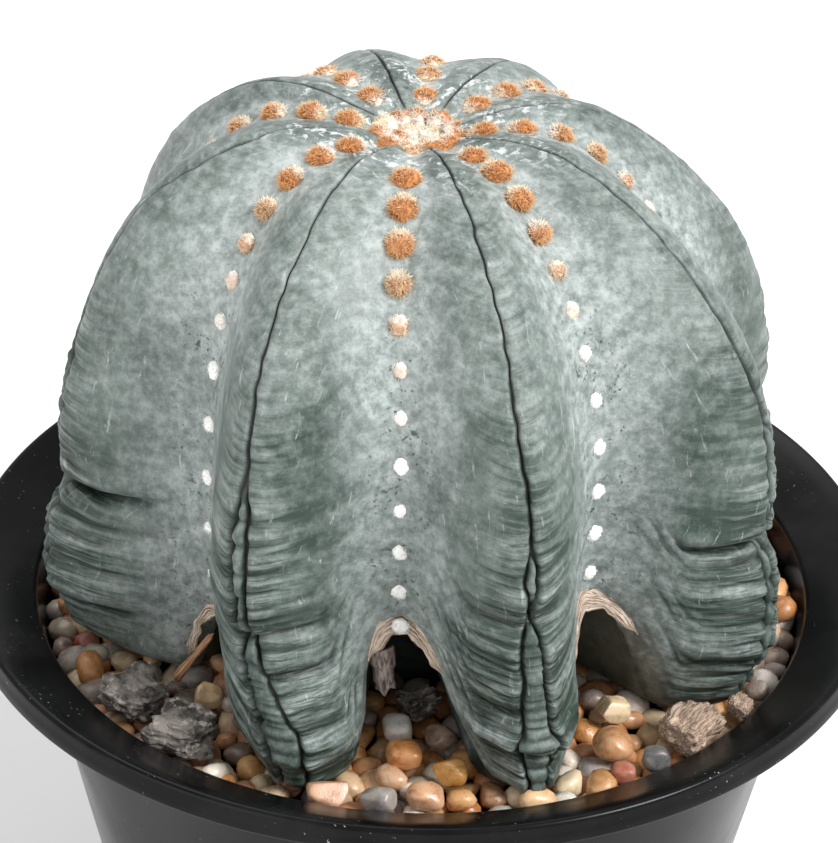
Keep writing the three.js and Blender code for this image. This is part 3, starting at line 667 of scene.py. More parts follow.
def stem_relief(point, i, u, s, across, half):
    """Height of the fine detail over the skin in millimetres, and the masks that colour it."""
    height = point[..., 2] - SOLE
    crest_share = np.cos(u * np.pi / 2) ** 2
    along = s * CREST_LENGTH
    low = 1 - smooth(22, 64, height)
    low_shade = 1 - smooth(8, 34, height)
    edge = np.abs(across) - half  # distance outside the split, negative inside it
    far = np.maximum(edge, 0)
    # Folds run straight out from the crest, and on the lower flanks they lie nearly level.
    table = np.linspace(0.36, 1, 200)
    level = np.interp(-height, -crest_at(table)[1], table * CREST_LENGTH)
    line = mix(along, level, 0.75 * smooth(72, 44, height))
    side = np.where(across < 0, 0.0, 37.0)
    # The split itself: two thin dark grooves with beads or a pleated strip between them.
    opening = smooth(0.5, 1.2, half)
    depth = mix(0.45, 1.0, smooth(80, 40, height)) * smooth(4, 12, along)
    groove_width = mix(mix(0.1, 0.3, smooth(85, 45, height)), 0.42, opening)
    groove_width *= 1 + 0.45 * line_noise((along, 13.0 * i), 1.6, 39)
    groove = bump(edge, groove_width)
    groove = np.where(edge > 0, groove, np.maximum(groove, 1 - opening))
    inside = smooth(0, 0.8, -edge) * opening
    wide = smooth(2.2, 3.4, half)
    bead_length = mix(4.3, 2.2, wide)
    beads = pleat(along / bead_length + 0.5 * line_noise((along, 3.0 * i), 5, 40))
    relief = -depth * groove + inside * mix(1.0 * beads - 0.3, 0.75 * beads - 0.1, wide)
    # Swollen lips along the split, notched into lobes.
    lips = smooth(0, 0.9, far) * bump(np.maximum(far - 0.9, 0), 3.4)
    notch = pleat(along / 3.6 + 0.9 * line_noise((along, 9.0 * i + side), 8, 41))
    relief += lips * mix(0.12, 0.8, low) * (0.3 + 0.8 * notch) * smooth(4, 20, along)
    # Pleats of three sizes across the rib, strongest beside the split, that fade down the flanks.
    drift = 0.45 * layered(point, 9, 2, 42) + 0.9 * line_noise((along, 4.0 * i + side), 11, 43)
    near = smooth(0, 0.6, far)
    patchy = 0.75 + 0.35 * noise(point, 8, 44)
    below_pinch = height - rib_values("pinch")[i]
    pleats, hollow_shade = 0.0, 0.0
    for period, high_size, low_size, low_reach in PLEATS:
        phase = (line + drift * PLEATS[0][0]) / period + 0.37 * i
        ridge = pleat(phase)
        reach = mix(0.45, 1.0, low) * low_reach * patchy * (1 + 0.75 * smooth(2, -6, below_pinch))
        size = mix(high_size, low_size, low) * (1 - smooth(0.5 * reach, 1.7 * reach, far)) * near
        pleats += size * (ridge - 0.78)
        # Painted shade in the troughs between the pleats.
        hollow_shade += np.minimum(size * 1.7, 0.9) * smooth(0.62, 0.12, ridge)
    relief += pleats
    # Deep fold where the rib is pinched, with lobes that roll over it; it dies out down the flank.
    pinch = rib_values("pinch")[i] + CREASE_RISE * np.abs(u)
    lift = height - pinch + 1.1 * noise(point, 9, 45)
    firm = smooth(0.15, 0.7, crest_share) * np.minimum(rib_values("fold")[i] / 2.5, 1.2)
    fold = bump(lift, 0.6) * firm
    relief += -1.5 * fold + firm * (1.1 * bump(lift - 2.6, 1.8) + 0.7 * bump(lift + 2.6, 1.8))
    # A second fold low on the rib, above its tucked-in foot.
    tuck = height - rib_values("tuck")[i] - 3 * np.abs(u) + 1.0 * noise(point, 8, 46)
    tuck_firm = smooth(0.2, 0.75, crest_share) * rib_values("tuck_fold")[i]
    tuck_fold = bump(tuck, 0.7) * tuck_firm
    relief += (-1.5 * tuck_fold + 1.3 * bump(tuck - 2.6, 2.0) * tuck_firm
               - 1.8 * smooth(0.5, -3, tuck) * tuck_firm)
    # Uneven growth and small dents.
    relief += 0.7 * noise(point, 19, 47) * smooth(0, 15, along) + 0.16 * layered(point, 4.5, 2, 48)
    # Pits under the areoles, with a faint raised rim.
    pit = areole_distance(s, point)
    relief += -0.5 * bump(pit, 1.7) + 0.18 * bump(pit - 2.9, 0.8)
    # Painted shade between the beads of the split and in the notches of its lips.
    hollow_shade += 0.7 * inside * smooth(0.6, 0.1, beads) + 0.5 * lips * low * smooth(0.5, 0.1, notch)
    # Painted shade: dark along the split's grooves and in the deep folds.
    dark = np.maximum.reduce([groove * smooth(5, 14, along), 1.05 * fold * crest_share, 0.95 * tuck_fold])
    valley = 1 - smooth(0.05, 0.72, crest_share)
    top = smooth(46, 82, height)
    # Pale wax in the valleys, paler towards the top and near the soles, and painted shade that darkens the
    # crests low down.
    bloom_and_painted_light = 0.15 + 0.50 * valley + 0.28 * top - 0.10 * low_shade * (1 - valley) + 0.12 * smooth(30, 10, height)
    # Painted highlight on the pleat ridges and painted shade in their troughs.
    bloom_and_painted_light += 0.7 * np.clip(pleats, -0.2, 0.5)
    wrinkled = 1 - smooth(2, mix(9, 17, low) + 9 * smooth(2, -6, below_pinch), far)
    beside_valley = 1 - smooth(0.05, 0.4, crest_share)
    masks = dict(
        along=line,
        across=np.abs(across) + 97.0 * i + side,
        groove=np.clip(dark, 0, 1),
        hollow_shade=np.clip(hollow_shade, 0, 1),
        bloom_and_painted_light=np.clip(bloom_and_painted_light, 0, 1),
        crown=1 - smooth(16, 34, along),
        phase=line / PLEATS[0][0] + drift + 0.37 * i,
        wrinkle=wrinkled * mix(0.2, 1, smooth(78, 34, height)) * near,
        speck=beside_valley * smooth(86, 64, height) + 0.6 * (1 - smooth(14, 30, along)),
    )
    return relief, masks


WOOLLY = 4  # areoles of a row, from the crown down, that are nodes of the CAD part
AREOLE_SPACING = 6.3
LAST_AREOLE = 9  # no row starts another one nearer than this to its valley's end


def areole_distances(rib):
    """Distances along a valley of its areoles, closer together on the shoulder than further down."""
    found = [rib["start"] + AREOLE_SPACING * k for k in range(WOOLLY)]
    while found[-1] < VALLEY_LENGTH - LAST_AREOLE:
        found.append(found[-1] + AREOLE_SPACING + 1.5 * float(smooth(38, 60, found[-1])))
    return found


def areole_distance(s, point):
    """Distance from each skin point to the nearest areole, in millimetres, 99 where none is near."""
    nearest = np.full(s.shape, 99.0)
    for k, rib in enumerate(RIBS):
        for distance in areole_distances(rib):
            seat = stem_point(np.array(k), np.array(-1.0), np.array(distance / VALLEY_LENGTH))
            nearest = np.minimum(nearest, np.linalg.norm(point - seat, axis=-1))
    return nearest


def surface_normals(points):
    """Outward unit normals of a closed-round grid of points [rows, columns, 3]."""
    across = np.roll(points, -1, 1) - np.roll(points, 1, 1)
    down = np.gradient(points, axis=0)
    normal = np.cross(down, across)
    return normal / (np.linalg.norm(normal, axis=-1, keepdims=True) + 1e-12)


def underside(edge, azimuth, wander):
    """Rings from the stem's lower edge in to the neck: flat soles, and arches that slope down to it."""
    radius = np.hypot(edge[:, 0], edge[:, 1])
    rings = []
    for row in range(SOLE_ROWS + 1):
        inward = (row / SOLE_ROWS) ** 1.4
        rise = (edge[:, 2] - SOLE) * (1 - inward**2)
        rings.append(polar(azimuth - wander * inward, mix(radius, NECK_RADIUS, inward), SOLE + rise))
    return np.array(rings)


def round_edge(skin, under):
    """Rounds the corner between the flanks and what is under them, along soles and arches."""
    length = np.linalg.norm(np.diff(skin, axis=0), axis=2)[::-1].cumsum(0)[::-1]
    length = np.vstack([length, np.zeros((1, skin.shape[1]))])
    corner = skin[-1]
    inward = unit(under[2] - under[0])
    columns = np.arange(skin.shape[1])
    first = (length > EDGE_ROUNDING).sum(0)
    start = skin[np.minimum(first, len(skin) - 1), columns]
    end = corner + inward * EDGE_ROUNDING
    t = np.clip(1 - length / EDGE_ROUNDING, 0, 1)[..., None]
    bezier = (1 - t) ** 2 * start + 2 * t * (1 - t) * corner + t**2 * end
    skin = np.where(t > 0, bezier, skin)
    under = under.copy()
    under[0] = end
    for row in range(1, len(under)):
        shift = (1 - row / (len(under) - 1)) ** 2
        under[row] += (end - corner) * shift
    return skin, under[1:]


def make_stem():
    i, u, s, across, half = stem_grid()
    point = stem_point(i, u, s)
    edge = point[-1]
    azimuth = np.degrees(np.arctan2(edge[:, 0], -edge[:, 1]))
    under = underside(edge, azimuth, rib_wander(i[-1], u[-1]))
    relief, masks = stem_relief(point, i, u, s, across, half)
    point, under = round_edge(point, under)
    skin = point + surface_normals(point) * (relief * smooth(0, 3, s * CREST_LENGTH))[..., None]
    skin[..., 2] = np.maximum(skin[..., 2], SOLE)
    under[..., 2] = np.maximum(under[..., 2], SOLE)
    straight = azimuth - rib_wander(i[-1], u[-1])
    root = [polar(straight, np.full(len(edge), NECK_RADIUS * (1 - share) ** 0.8), SOLE - share * ROOT_DEPTH)
            for share in ROOT_SHARES]
    rings = np.concatenate([skin, under, np.array(root)])
    crown_point = stem_point(np.array(0), np.array(0.0), np.array(0.0))
    rows, columns = rings.shape[:2]
    points = np.vstack([rings.reshape(-1, 3), crown_point[None], [[0, 0, SOLE - ROOT_DEPTH]]])
    faces = pointed_faces(rows, columns)
    hidden = rows - len(skin)
    # The hidden underside and root get some painted shade.
    under_values = dict(along=CREST_LENGTH, across=0.0, groove=0.0, hollow_shade=0.35, bloom_and_painted_light=0.12, crown=0.0,
                        phase=0.0, wrinkle=0.2, speck=0.5)
    values = {}
    for key, mask in masks.items():
        below = np.full((hidden, columns), under_values[key])
        values[key] = np.concatenate([np.vstack([mask, below]).ravel(), [mask[0].mean(), under_values[key]]])
    piece = build("ribbed_stem", points, faces, stem_skin(), values)
    return place(piece, "stem_skin", "cactus_stem")


# ---------------------------------------------------------------- wool
CREAM = np.array([0.97, 0.86, 0.66])
WHITE = np.array([0.99, 0.99, 0.97])
RUST = np.array([0.52, 0.17, 0.03])
ORANGE = np.array([0.96, 0.57, 0.25])
TAN = np.array([0.55, 0.30, 0.15])


def frame_on(normal, hint):
    """Two unit directions square to normal, the first as near hint as it can be."""
    first = unit(hint - normal * np.dot(hint, normal))
    return first, np.cross(normal, first)


def add_hairs(heap, rng, roots, directions, lengths, thickness, root_colour, tip_colour):
    """Tapered three-sided hairs, each bent a little out of line."""
    sides = np.arange(3) * 2 * np.pi / 3
    levels = np.array([0, 0.5, 1.0])
    taper = np.array([1.0, 0.75, 0.25])
    for root, direction, length in zip(roots, directions, lengths):
        curl = rng.normal(0, 0.35, 3)
        a, b = frame_on(direction, rng.normal(0, 1, 3))
        spine = root + np.outer(levels * length, direction) + np.outer((levels * length) ** 2, curl) * 0.35
        around = np.outer(np.cos(sides), a) + np.outer(np.sin(sides), b)
        points = (spine[:, None] + around[None] * (taper * thickness)[:, None, None]).reshape(-1, 3)
        faces = [(3 * l + k, 3 * l + (k + 1) % 3, 3 * l + 3 + (k + 1) % 3, 3 * l + 3 + k)
                 for l in range(2) for k in range(3)]
        faces.append((6, 7, 8))
        faces.append((2, 1, 0))
        tint = mix(root_colour, tip_colour, np.repeat(levels, 3)[:, None])
        heap.add(points, faces, tint=tint)


def add_tuft(heap, rng, seat, normal, down, radius, height, fluff, colours, hairs):
    """One areole: a lumpy felt cushion with hairs standing out of it. colours are those of the cushion's
    downhill side, of the hairs' tips there, and of the uphill side."""
    body, tips, uphill = colours
    core, faces = ball(3)
    axes = np.stack([down, np.cross(normal, down), normal])
    lumps = 0.9 + 0.18 * noise(core * 3 + seat, 1.3, 60) + 0.14 * noise(core * 3 + seat, 0.6, 61)
    dimple = 1 - 0.22 * bump(np.arccos(np.clip(core[:, 2], -1, 1)), 0.5)
    local = core * (lumps * dimple)[:, None] * np.array([radius * 1.08, radius, height])
    local[:, 2] = np.maximum(local[:, 2], -0.45 * height)
    old_side = smooth(-0.05, -0.9, core[:, 0] + 0.5 * noise(core + seat, 0.5, 62))[:, None]
    heap.add(seat + local @ axes, faces, tint=mix(mix(body, tips, 0.15), uphill, old_side * 0.85))
    lift = np.arccos(rng.uniform(0.0, 1.0, hairs) ** 1.3)
    turn = rng.uniform(0, 2 * np.pi, hairs)
    out = np.stack([np.sin(lift) * np.cos(turn), np.sin(lift) * np.sin(turn), np.cos(lift)], -1)
    roots = seat + (out * np.array([radius, radius, height]) * 0.88) @ axes
    lean = out + rng.normal(0, 0.55, out.shape)
    lean[:, 2] = np.abs(lean[:, 2]) * 0.8 + 0.1
    directions = unit(lean @ axes)
    lengths = rng.uniform(0.35, 1.0, hairs) * fluff * (0.75 + 0.4 * np.sin(lift))
    pale = out[:, 0] + rng.normal(0, 0.3, hairs) < -0.5
    add_hairs(heap, rng, roots[pale], directions[pale], lengths[pale], 0.07, mix(body, uphill, 0.7), uphill)
    add_hairs(heap, rng, roots[~pale], directions[~pale], lengths[~pale], 0.06, body, tips)


def valley_frame(k, distance):
    """Seat, outward normal and downhill direction in the valley before rib k."""
    rib = np.array(k)
    u = np.array(-1.0)
    share = distance / VALLEY_LENGTH
    seat = stem_point(rib, u, np.array(share))
    down = unit(stem_point(rib, u, np.array(share + 0.01)) - stem_point(rib, u, np.array(share - 0.01)))
    sideways = polar(RIBS[k]["valley"] + 90, 1.0, 0.0)
    normal = unit(np.cross(down, sideways))
    if normal @ np.array([seat[0], seat[1], 30.0]) < 0:
        normal = -normal
    return seat, normal, down


def make_areoles():
    material = wool("areole_wool")
    for k, rib in enumerate(RIBS):
        heap = Heap()
        rng = np.random.default_rng(100 + k)
        distances = areole_distances(rib)
        on_rim = len(distances)  # the order of the one that sits on the torn rim, where a row has it
        if "on_rim" in rib:
            distances.append(VALLEY_LENGTH - rib["on_rim"])
        for order, distance in enumerate(distances):
            seat, normal, down = valley_frame(k, distance)
            if order == on_rim:
                seat = seat + 1.4 * normal
            age = smooth(3.0, 7.5, float(order))  # young and rusty near the crown, old and white below
            felt = smooth(2.5, 5.0, float(order))
            warm = smooth(1.0, 4.5, order + rng.uniform(-0.8, 0.8))
            body = mix(mix(RUST, TAN, warm), WHITE, age)
            tips = mix(mix(ORANGE, CREAM, 0.6 * warm), WHITE, age)
            radius = mix(2.15, 1.5, smooth(0, 4.5, float(order))) * rng.uniform(0.92, 1.08)
            height = mix(2.0, 0.95, felt) * rng.uniform(0.92, 1.08)
            hairs = int(mix(620, 130, felt))
            fluff = mix(1.1, 0.38, felt)
            add_tuft(heap, rng, seat - 0.35 * normal, normal, down, radius, height, fluff,
                     (body, tips, mix(mix(CREAM, WHITE, rng.uniform(0, 0.8)), WHITE, age)), hairs)
        piece = heap.build(f"areole_row_{rib['row']}", material)
        place(piece, "areole_wool", *(f"areole_{rib['row']}_{n}" for n in range(1, WOOLLY + 1)))


CROWN_RINGS = ((1, 0.0), (6, 3.0), (11, 6.4))  # young tufts in each ring, and the ring's radius


def make_crown_wool():
    """The crown's cushion: many young tufts packed together over the dimple, cream in the middle."""
    heap = Heap()
    rng = np.random.default_rng(7)
    up = np.array([0, 0, 1.0])
    valleys = rib_values("valley")
    centre = stem_point(np.array(0), np.array(0.0), np.array(0.0))
    for ring, (count, distance) in enumerate(CROWN_RINGS):
        for k in range(count):
            azimuth = 360 * (k + rng.uniform(-0.2, 0.2)) / count + 25 * ring
            share = (distance + rng.uniform(-0.5, 0.5)) / VALLEY_LENGTH
            nearest = int(np.argmin(np.abs((valleys - azimuth + 180) % 360 - 180)))
            seat = stem_point(np.array(nearest), np.array(-1.0), np.array(max(share, 0.0)))
            spread = polar(azimuth, max(distance, 0.01), 0.0)
            seat = np.array([centre[0] + spread[0], centre[1] + spread[1], seat[2]])
            normal = unit(up + 0.25 * spread / max(distance, 1))
            down, _ = frame_on(normal, polar(azimuth, 1.0, 0.0))
            warm = smooth(0.3, 0.7, rng.uniform(0, 0.75) + 0.18 * ring)
            colours = (mix(CREAM, RUST, warm), mix(CREAM, ORANGE, warm), mix(CREAM, WHITE, 0.7))
            add_tuft(heap, rng, seat, normal, down, rng.uniform(2.0, 2.5), rng.uniform(1.9, 2.5),
                     1.0, colours, 480)
    return place(heap.build("crown_cushion", wool("crown_wool")), "crown_wool", "crown_wool")


# ---------------------------------------------------------------- dry torn skin at the arches
RIM_POINTS = 90
RIM_PROFILE = 7  # points across a layer, on its face and again on its back
RIM_THICKNESS = 0.4
RIM_LAYERS = ((1.0, 0.15), (0.72, 0.5), (0.42, 0.8))  # share of the width, and how far it stands out
# For the arch before each rib: share of it that the torn rim covers to the left and right, width at the
# top and at the sides in millimetres.
TORN_RIMS = {
    "left": (0.22, 0.2, 2.6, 1.2), "front_left": (0.24, 0.22, 3.0, 1.6), "front": (0.31, 0.36, 3.4, 1.7),
    "front_right": (0.3, 0.34, 3.6, 1.6), "right": (0.25, 0.2, 2.4, 1.2), "back_right": (0.2, 0.25, 2.8, 1.3),
    "back": (0.25, 0.25, 3.0, 1.4), "back_left": (0.2, 0.2, 2.4, 1.2),
}


def arch_edge(k, t):
    """The lower edge of the skin round the arch before rib k, at t below 0 on its left and above 0 on its
    right: points, and unit directions up the skin and out of it."""
    rib = np.where(t < 0, (k - 1) % COUNT, k)
    u = np.where(t < 0, 1 + t, t - 1)
    edge = stem_point(rib, u, np.ones_like(t))
    above = stem_point(rib, u, np.full_like(t, 0.97)) - edge
    along = unit(np.gradient(edge, axis=0))
    up = unit(above - along * (above * along).sum(1, keepdims=True))
    out = np.cross(along, up)
    out *= np.sign((out * edge * [1, 1, 0]).sum(1, keepdims=True))
    return edge, up, out


def make_torn_rim(k, material):
    """Layers of dry, papery skin that peel off round the top of an arch."""
    row = RIBS[k]["row"]
    left, right, top_width, side_width = TORN_RIMS[row]
    t = np.linspace(-left, right, RIM_POINTS)
    edge, up, out = arch_edge(k, t)
    length = np.concatenate([[0], np.cumsum(np.linalg.norm(np.diff(edge, axis=0), axis=1))])
    share = length / length[-1]
    ends = smooth(0, 0.16, share) * smooth(1, 0.84, share)
    apex = bump(t, 0.12)
    heap = Heap()
    for layer, (reach, lift) in enumerate(RIM_LAYERS):
        ragged = 1 + 0.3 * line_noise((length, 20.0 * k + layer), 2.4, 100)
        ragged = ragged + 0.16 * line_noise((length, 9.0 * k + layer), 0.7, 101)
        width = mix(side_width, top_width, apex) * reach * ragged * (0.12 + 0.88 * ends)
        hang = (0.5 + 0.7 * line_noise((length, 31.0 * k + layer), 1.6, 102) + 0.25 * layer) * ends
        q = np.linspace(0, 1, RIM_PROFILE)[None, :, None]
        curl = (lift * ends)[:, None, None] * smooth(0, 0.45, q) + 0.25 * ends[:, None, None] * q**2
        face = edge[:, None] + up[:, None] * mix(width[:, None, None], -hang[:, None, None], q)
        face = face + out[:, None] * (curl - 0.12)
        face += out[:, None] * 0.14 * noise(face, 1.1, 103 + layer)[..., None]
        back = face - out[:, None] * RIM_THICKNESS * (0.25 + 0.75 * ends)[:, None, None]
        loop = np.concatenate([face, back[:, ::-1]], 1)
        columns = 2 * RIM_PROFILE
        depth = np.concatenate([q[0, :, 0], q[0, ::-1, 0]])
        grain = np.stack(np.broadcast_arrays(length[:, None], depth * 4, 5.0 * layer + 0 * depth), -1)
        heap.add(loop.reshape(-1, 3), tube_faces(RIM_POINTS, columns), grain=grain.reshape(-1, 3))
    return place(heap.build(f"torn_rim_{row}", material), "wood")


FLAKE_LENGTH = 7.4
FLAKE_RADIUS = 2.5
FLAKE_THICKNESS = 0.4
FLAKE_TURN = 250  # degrees that it is curled round
FLAKE_SHARE = -0.28  # where on the front arch it hangs


def make_curl(material):
    """A curled flake of dead skin that hangs inside the left wall of the front arch."""
    k = [rib["row"] for rib in RIBS].index("front")
    edge, up, out = (value[1] for value in arch_edge(k, FLAKE_SHARE + np.array([-0.01, 0, 0.01])))
    axis = unit(np.array([0.18, -0.25, -1.0]))
    a, b = frame_on(axis, out)
    rows, columns = 40, 30
    v = np.linspace(0, 1, rows)[:, None]
    w = np.linspace(0, 1, columns)[None]
    turn = np.radians(-40 + FLAKE_TURN * w + 25 * v)
    uneven = line_noise((9 * v + 0 * w, 3 * w + 0 * v), 1, 110)
    radius = (FLAKE_RADIUS - 0.7 * w) * (1 - 0.3 * v) + 0.25 * uneven
    top = edge - up * 2.0 - out * 3.2 + np.array([2.2, 0, 0])
    middle = top + (v * (FLAKE_LENGTH + line_noise(7 * w, 1, 111)))[..., None] * axis
    spoke = np.cos(turn)[..., None] * a + np.sin(turn)[..., None] * b
    outer = middle + radius[..., None] * spoke
    inner = middle + (radius - FLAKE_THICKNESS)[..., None] * spoke
    points = np.concatenate([outer, inner[:, ::-1]], 1)
    faces = grid_faces(rows, 2 * columns).tolist()
    last = (rows - 1) * 2 * columns
    for start, flip in ((0, -1), (last, 1)):
        faces += [[start + j, start + j + 1, start + 2 * columns - 2 - j, start + 2 * columns - 1 - j][::flip]
                  for j in range(columns - 1)]
    grain = np.stack(np.broadcast_arrays(9 * v, 8 * np.concatenate([w, w[:, ::-1]], 1), 0.0), -1)
    piece = build("curled_flake", points.reshape(-1, 3), faces, material, dict(grain=grain.reshape(-1, 3)))
    return place(piece, "wood")


def make_torn_skin():
    cork = dry_wood("torn_skin", (0.3, 2.6, 1.0), (0.20, 0.11, 0.07), (0.72, 0.61, 0.50))
    for k in range(COUNT):
        make_torn_rim(k, cork)
    make_curl(dry_wood("dead_skin", (0.35, 1.6, 1.0), (0.10, 0.075, 0.065), (0.40, 0.33, 0.30)))


# ---------------------------------------------------------------- gravel
STONE_TINTS = np.array([
    [0.56, 0.23, 0.07], [0.66, 0.34, 0.13], [0.70, 0.44, 0.24], [0.74, 0.56, 0.37], [0.82, 0.76, 0.66],
    [0.36, 0.16, 0.08], [0.27, 0.21, 0.17], [0.13, 0.13, 0.135], [0.42, 0.38, 0.34], [0.60, 0.27, 0.14],
    [0.40, 0.10, 0.06],
])
STONE_SHARES = np.array([0.14, 0.15, 0.13, 0.11, 0.08, 0.09, 0.08, 0.06, 0.07, 0.07, 0.02])
SMALL_STONE = ball(2)
BROKEN_SHARE = 0.45  # of the stones have flat sides
FLAT_CUTS = 7
LOWER_STONES = 560
UPPER_STONES = 190  # before those in a foot or in a named stone's place are left out
UPPER_INNER_RADIUS = 34
PACKING = 0.93  # of two stones' radii, which they keep between their middles
FOOT_HALF_ANGLE = 22  # degrees from a foot's middle to where it has run back to the neck


def turned_at_random(rng, tilt):
    spin = Matrix.Rotation(rng.uniform(0, 2 * math.pi), 3, "Z")
    lean = Matrix.Rotation(rng.normal(0, tilt), 3, "X") @ Matrix.Rotation(rng.normal(0, tilt), 3, "Y")
    return np.array(lean @ spin)


def stone_shape(rng, shape, half_axes):
    """A worn stone: a ball pushed towards a box, then swollen and dented."""
    points, faces = shape
    power = rng.uniform(2.0, 3.1)
    norm = (np.abs(points) ** power).sum(1) ** (1 / power)
    points = points / norm[:, None]
    seed = rng.uniform(0, 100, 3)
    swell = 1 + 0.16 * noise(points + seed, 1.1, 70) + 0.05 * noise(points + seed, 0.45, 71)
    points = points * swell[:, None]
    # Some stones are broken ones, with flat sides.
    if rng.uniform() < BROKEN_SHARE:
        cuts = unit(rng.normal(0, 1, (FLAT_CUTS, 3)))
        for cut, depth in zip(cuts, rng.uniform(0.62, 0.9, FLAT_CUTS)):
            points = points - np.maximum(points @ cut - depth, 0)[:, None] * cut * 0.9
    return points * half_axes, faces


def packed_circles(rng, count, radius_range, inner, outer, rounds=90):
    """Stones spread over a ring-shaped bed, pushed apart until they hardly overlap."""
    radius = rng.uniform(*radius_range, count)
    distance = np.sqrt(rng.uniform(inner**2, outer**2, count))
    angle = rng.uniform(0, 2 * np.pi, count)
    xy = np.stack([distance * np.sin(angle), -distance * np.cos(angle)], -1)
    for _ in range(rounds):
        gap = xy[:, None] - xy[None]
        length = np.linalg.norm(gap, axis=-1) + np.eye(count) * 99
        need = (radius[:, None] + radius[None]) * PACKING
        push = np.maximum(need - length, 0)[..., None] * gap / length[..., None]
        xy = xy + 0.35 * push.sum(1)
        far = np.hypot(*xy.T)
        limit = np.clip(far, inner, outer - radius)
        xy *= (limit / far)[:, None]
    return xy, radius


def add_stone(heap, rng, x, y, half, tilt, level, spread, highest=math.inf):
    """One stone of the bed, a little tilted, about level and no higher than highest."""
    points, faces = stone_shape(rng, SMALL_STONE, half)
    points = points @ turned_at_random(rng, tilt)
    points += [x, y, min(level + rng.uniform(*spread), highest)]
    heap.add(points, faces, tint=stone_tint(rng))


def make_gravel():
    rng = np.random.default_rng(11)
    heap = Heap()
    named = [(node_centre(n), node_size(n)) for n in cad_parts
             if n.startswith(("pebble_", "bark_", "wood_"))]
    lower, lower_radius = packed_circles(rng, LOWER_STONES, (1.9, 3.3), NECK_RADIUS + 2, BED_RADIUS - 0.3)
    for (x, y), radius in zip(lower, lower_radius):
        half = np.array([radius * rng.uniform(1.0, 1.2), radius * rng.uniform(0.85, 1.0), radius * 0.78])
        highest = GRAVEL_TOP - 0.2 - half[2] * 0.8
        add_stone(heap, rng, x, y, half, 0.25, GRAVEL_TOP - 2.6, (-0.8, 0.7), highest)
    upper, upper_radius = packed_circles(rng, UPPER_STONES, (1.6, 3.0), UPPER_INNER_RADIUS, BED_RADIUS - 0.6)
    for (x, y), radius in zip(upper, upper_radius):
        half = np.array([radius * rng.uniform(1.0, 1.25), radius * rng.uniform(0.8, 1.0), radius * 0.72])
        if not (under_sole(x, y, radius) or near_named(x, y, radius, named)):
            add_stone(heap, rng, x, y, half, 0.3, GRAVEL_TOP, (-0.6, 0.5))
    return place(heap.build("gravel", worn_stone("gravel_stone")), "gravel", "gravel_bed")


def stone_tint(rng):
    tint = STONE_TINTS[rng.choice(len(STONE_TINTS), p=STONE_SHARES / STONE_SHARES.sum())]
    return np.clip(tint * rng.uniform(0.8, 1.15) * rng.uniform(0.94, 1.06, 3), 0, 1)


def under_sole(x, y, radius):
    """True where a stone of that radius would stand in a rib's foot."""
    azimuth = math.degrees(math.atan2(x, -y))
    distance = math.hypot(x, y)
    for rib in RIBS:
        foot = rib["crest"] + rib["stride"]
        width = max(rib["stance"]) * FOOT_HALF_ANGLE + math.degrees(radius * 0.55 / distance)
        turn = abs((azimuth - foot + 180) % 360 - 180)
        crest_share = math.cos(min(turn / FOOT_HALF_ANGLE, 1) * math.pi / 2) ** 2
        reach = mix(46, STEM_RADIUS * rib["reach"] * 0.965, crest_share)
        if turn < width and distance < reach + radius * 0.5:
            return True
    return False


def near_named(x, y, radius, named):
    return any(math.hypot(x - c[0], y - c[1]) < 0.42 * max(size[0], size[1]) + 0.62 * radius
               for c, size in named)


NAMED_TINTS = {
    "pebble_amber": (0.58, 0.24, 0.07), "pebble_white": (0.92, 0.88, 0.82),
    "pebble_umber": (0.24, 0.16, 0.12), "pebble_orange": (0.72, 0.36, 0.09),
    "pebble_slate": (0.27, 0.26, 0.25), "pebble_salmon": (0.66, 0.36, 0.22),
    "pebble_peach": (0.62, 0.33, 0.18), "pebble_terracotta": (0.55, 0.27, 0.12),
    "pebble_brick": (0.38, 0.09, 0.05), "pebble_charcoal": (0.08, 0.09, 0.10),
    "pebble_cream": (0.78, 0.60, 0.38), "pebble_sand": (0.72, 0.50, 0.28),
}


def make_named_pebbles():
    material = worn_stone("pebble_stone")
    for order, (node, tint) in enumerate(NAMED_TINTS.items()):
        rng = np.random.default_rng(200 + order)
        size = node_size(node)
        points, faces = stone_shape(rng, ball(4), np.array([0.5, 0.5, 0.5]))
        points *= 1 / (points.max(0) - points.min(0))
        points -= (points.max(0) + points.min(0)) / 2
        points = points * size + node_centre(node) - [0, 0, 0.5]
        piece = build(node.replace("pebble_", "stone_"), points, faces, material,
                      dict(tint=np.broadcast_to(tint, (len(points), 3))))
        place(piece, "pebbles", node)


# ---------------------------------------------------------------- bark, wood and twig
def block(cells):
    """A unit block with its faces cut into a grid: (points, quads)."""
    bm = bmesh.new()
    bmesh.ops.create_cube(bm, size=1)
    bmesh.ops.subdivide_edges(bm, edges=bm.edges[:], cuts=cells, use_grid_fill=True)
    return taken_from(bm)


# CAD node: piece, turn in degrees, raggedness, layers and seed.
CHUNKS = {
    "bark_chunk_left": ("bark_left", -49, 0.22, 2.2, 3.0),
    "bark_chunk_front": ("bark_front", -30, 0.26, 2.6, 8.0),
    "bark_crumb": ("bark_crumb_arch", 30, 0.4, 3.4, 13.0),
    "wood_chip": ("wood_chip_right", 55, 0.2, 4.5, 21.0),
    "wood_chip_small": ("wood_chip_far_right", 57, 0.2, 4.5, 27.0),
}
CHUNK_CUTS = 26  # across each face of a chunk


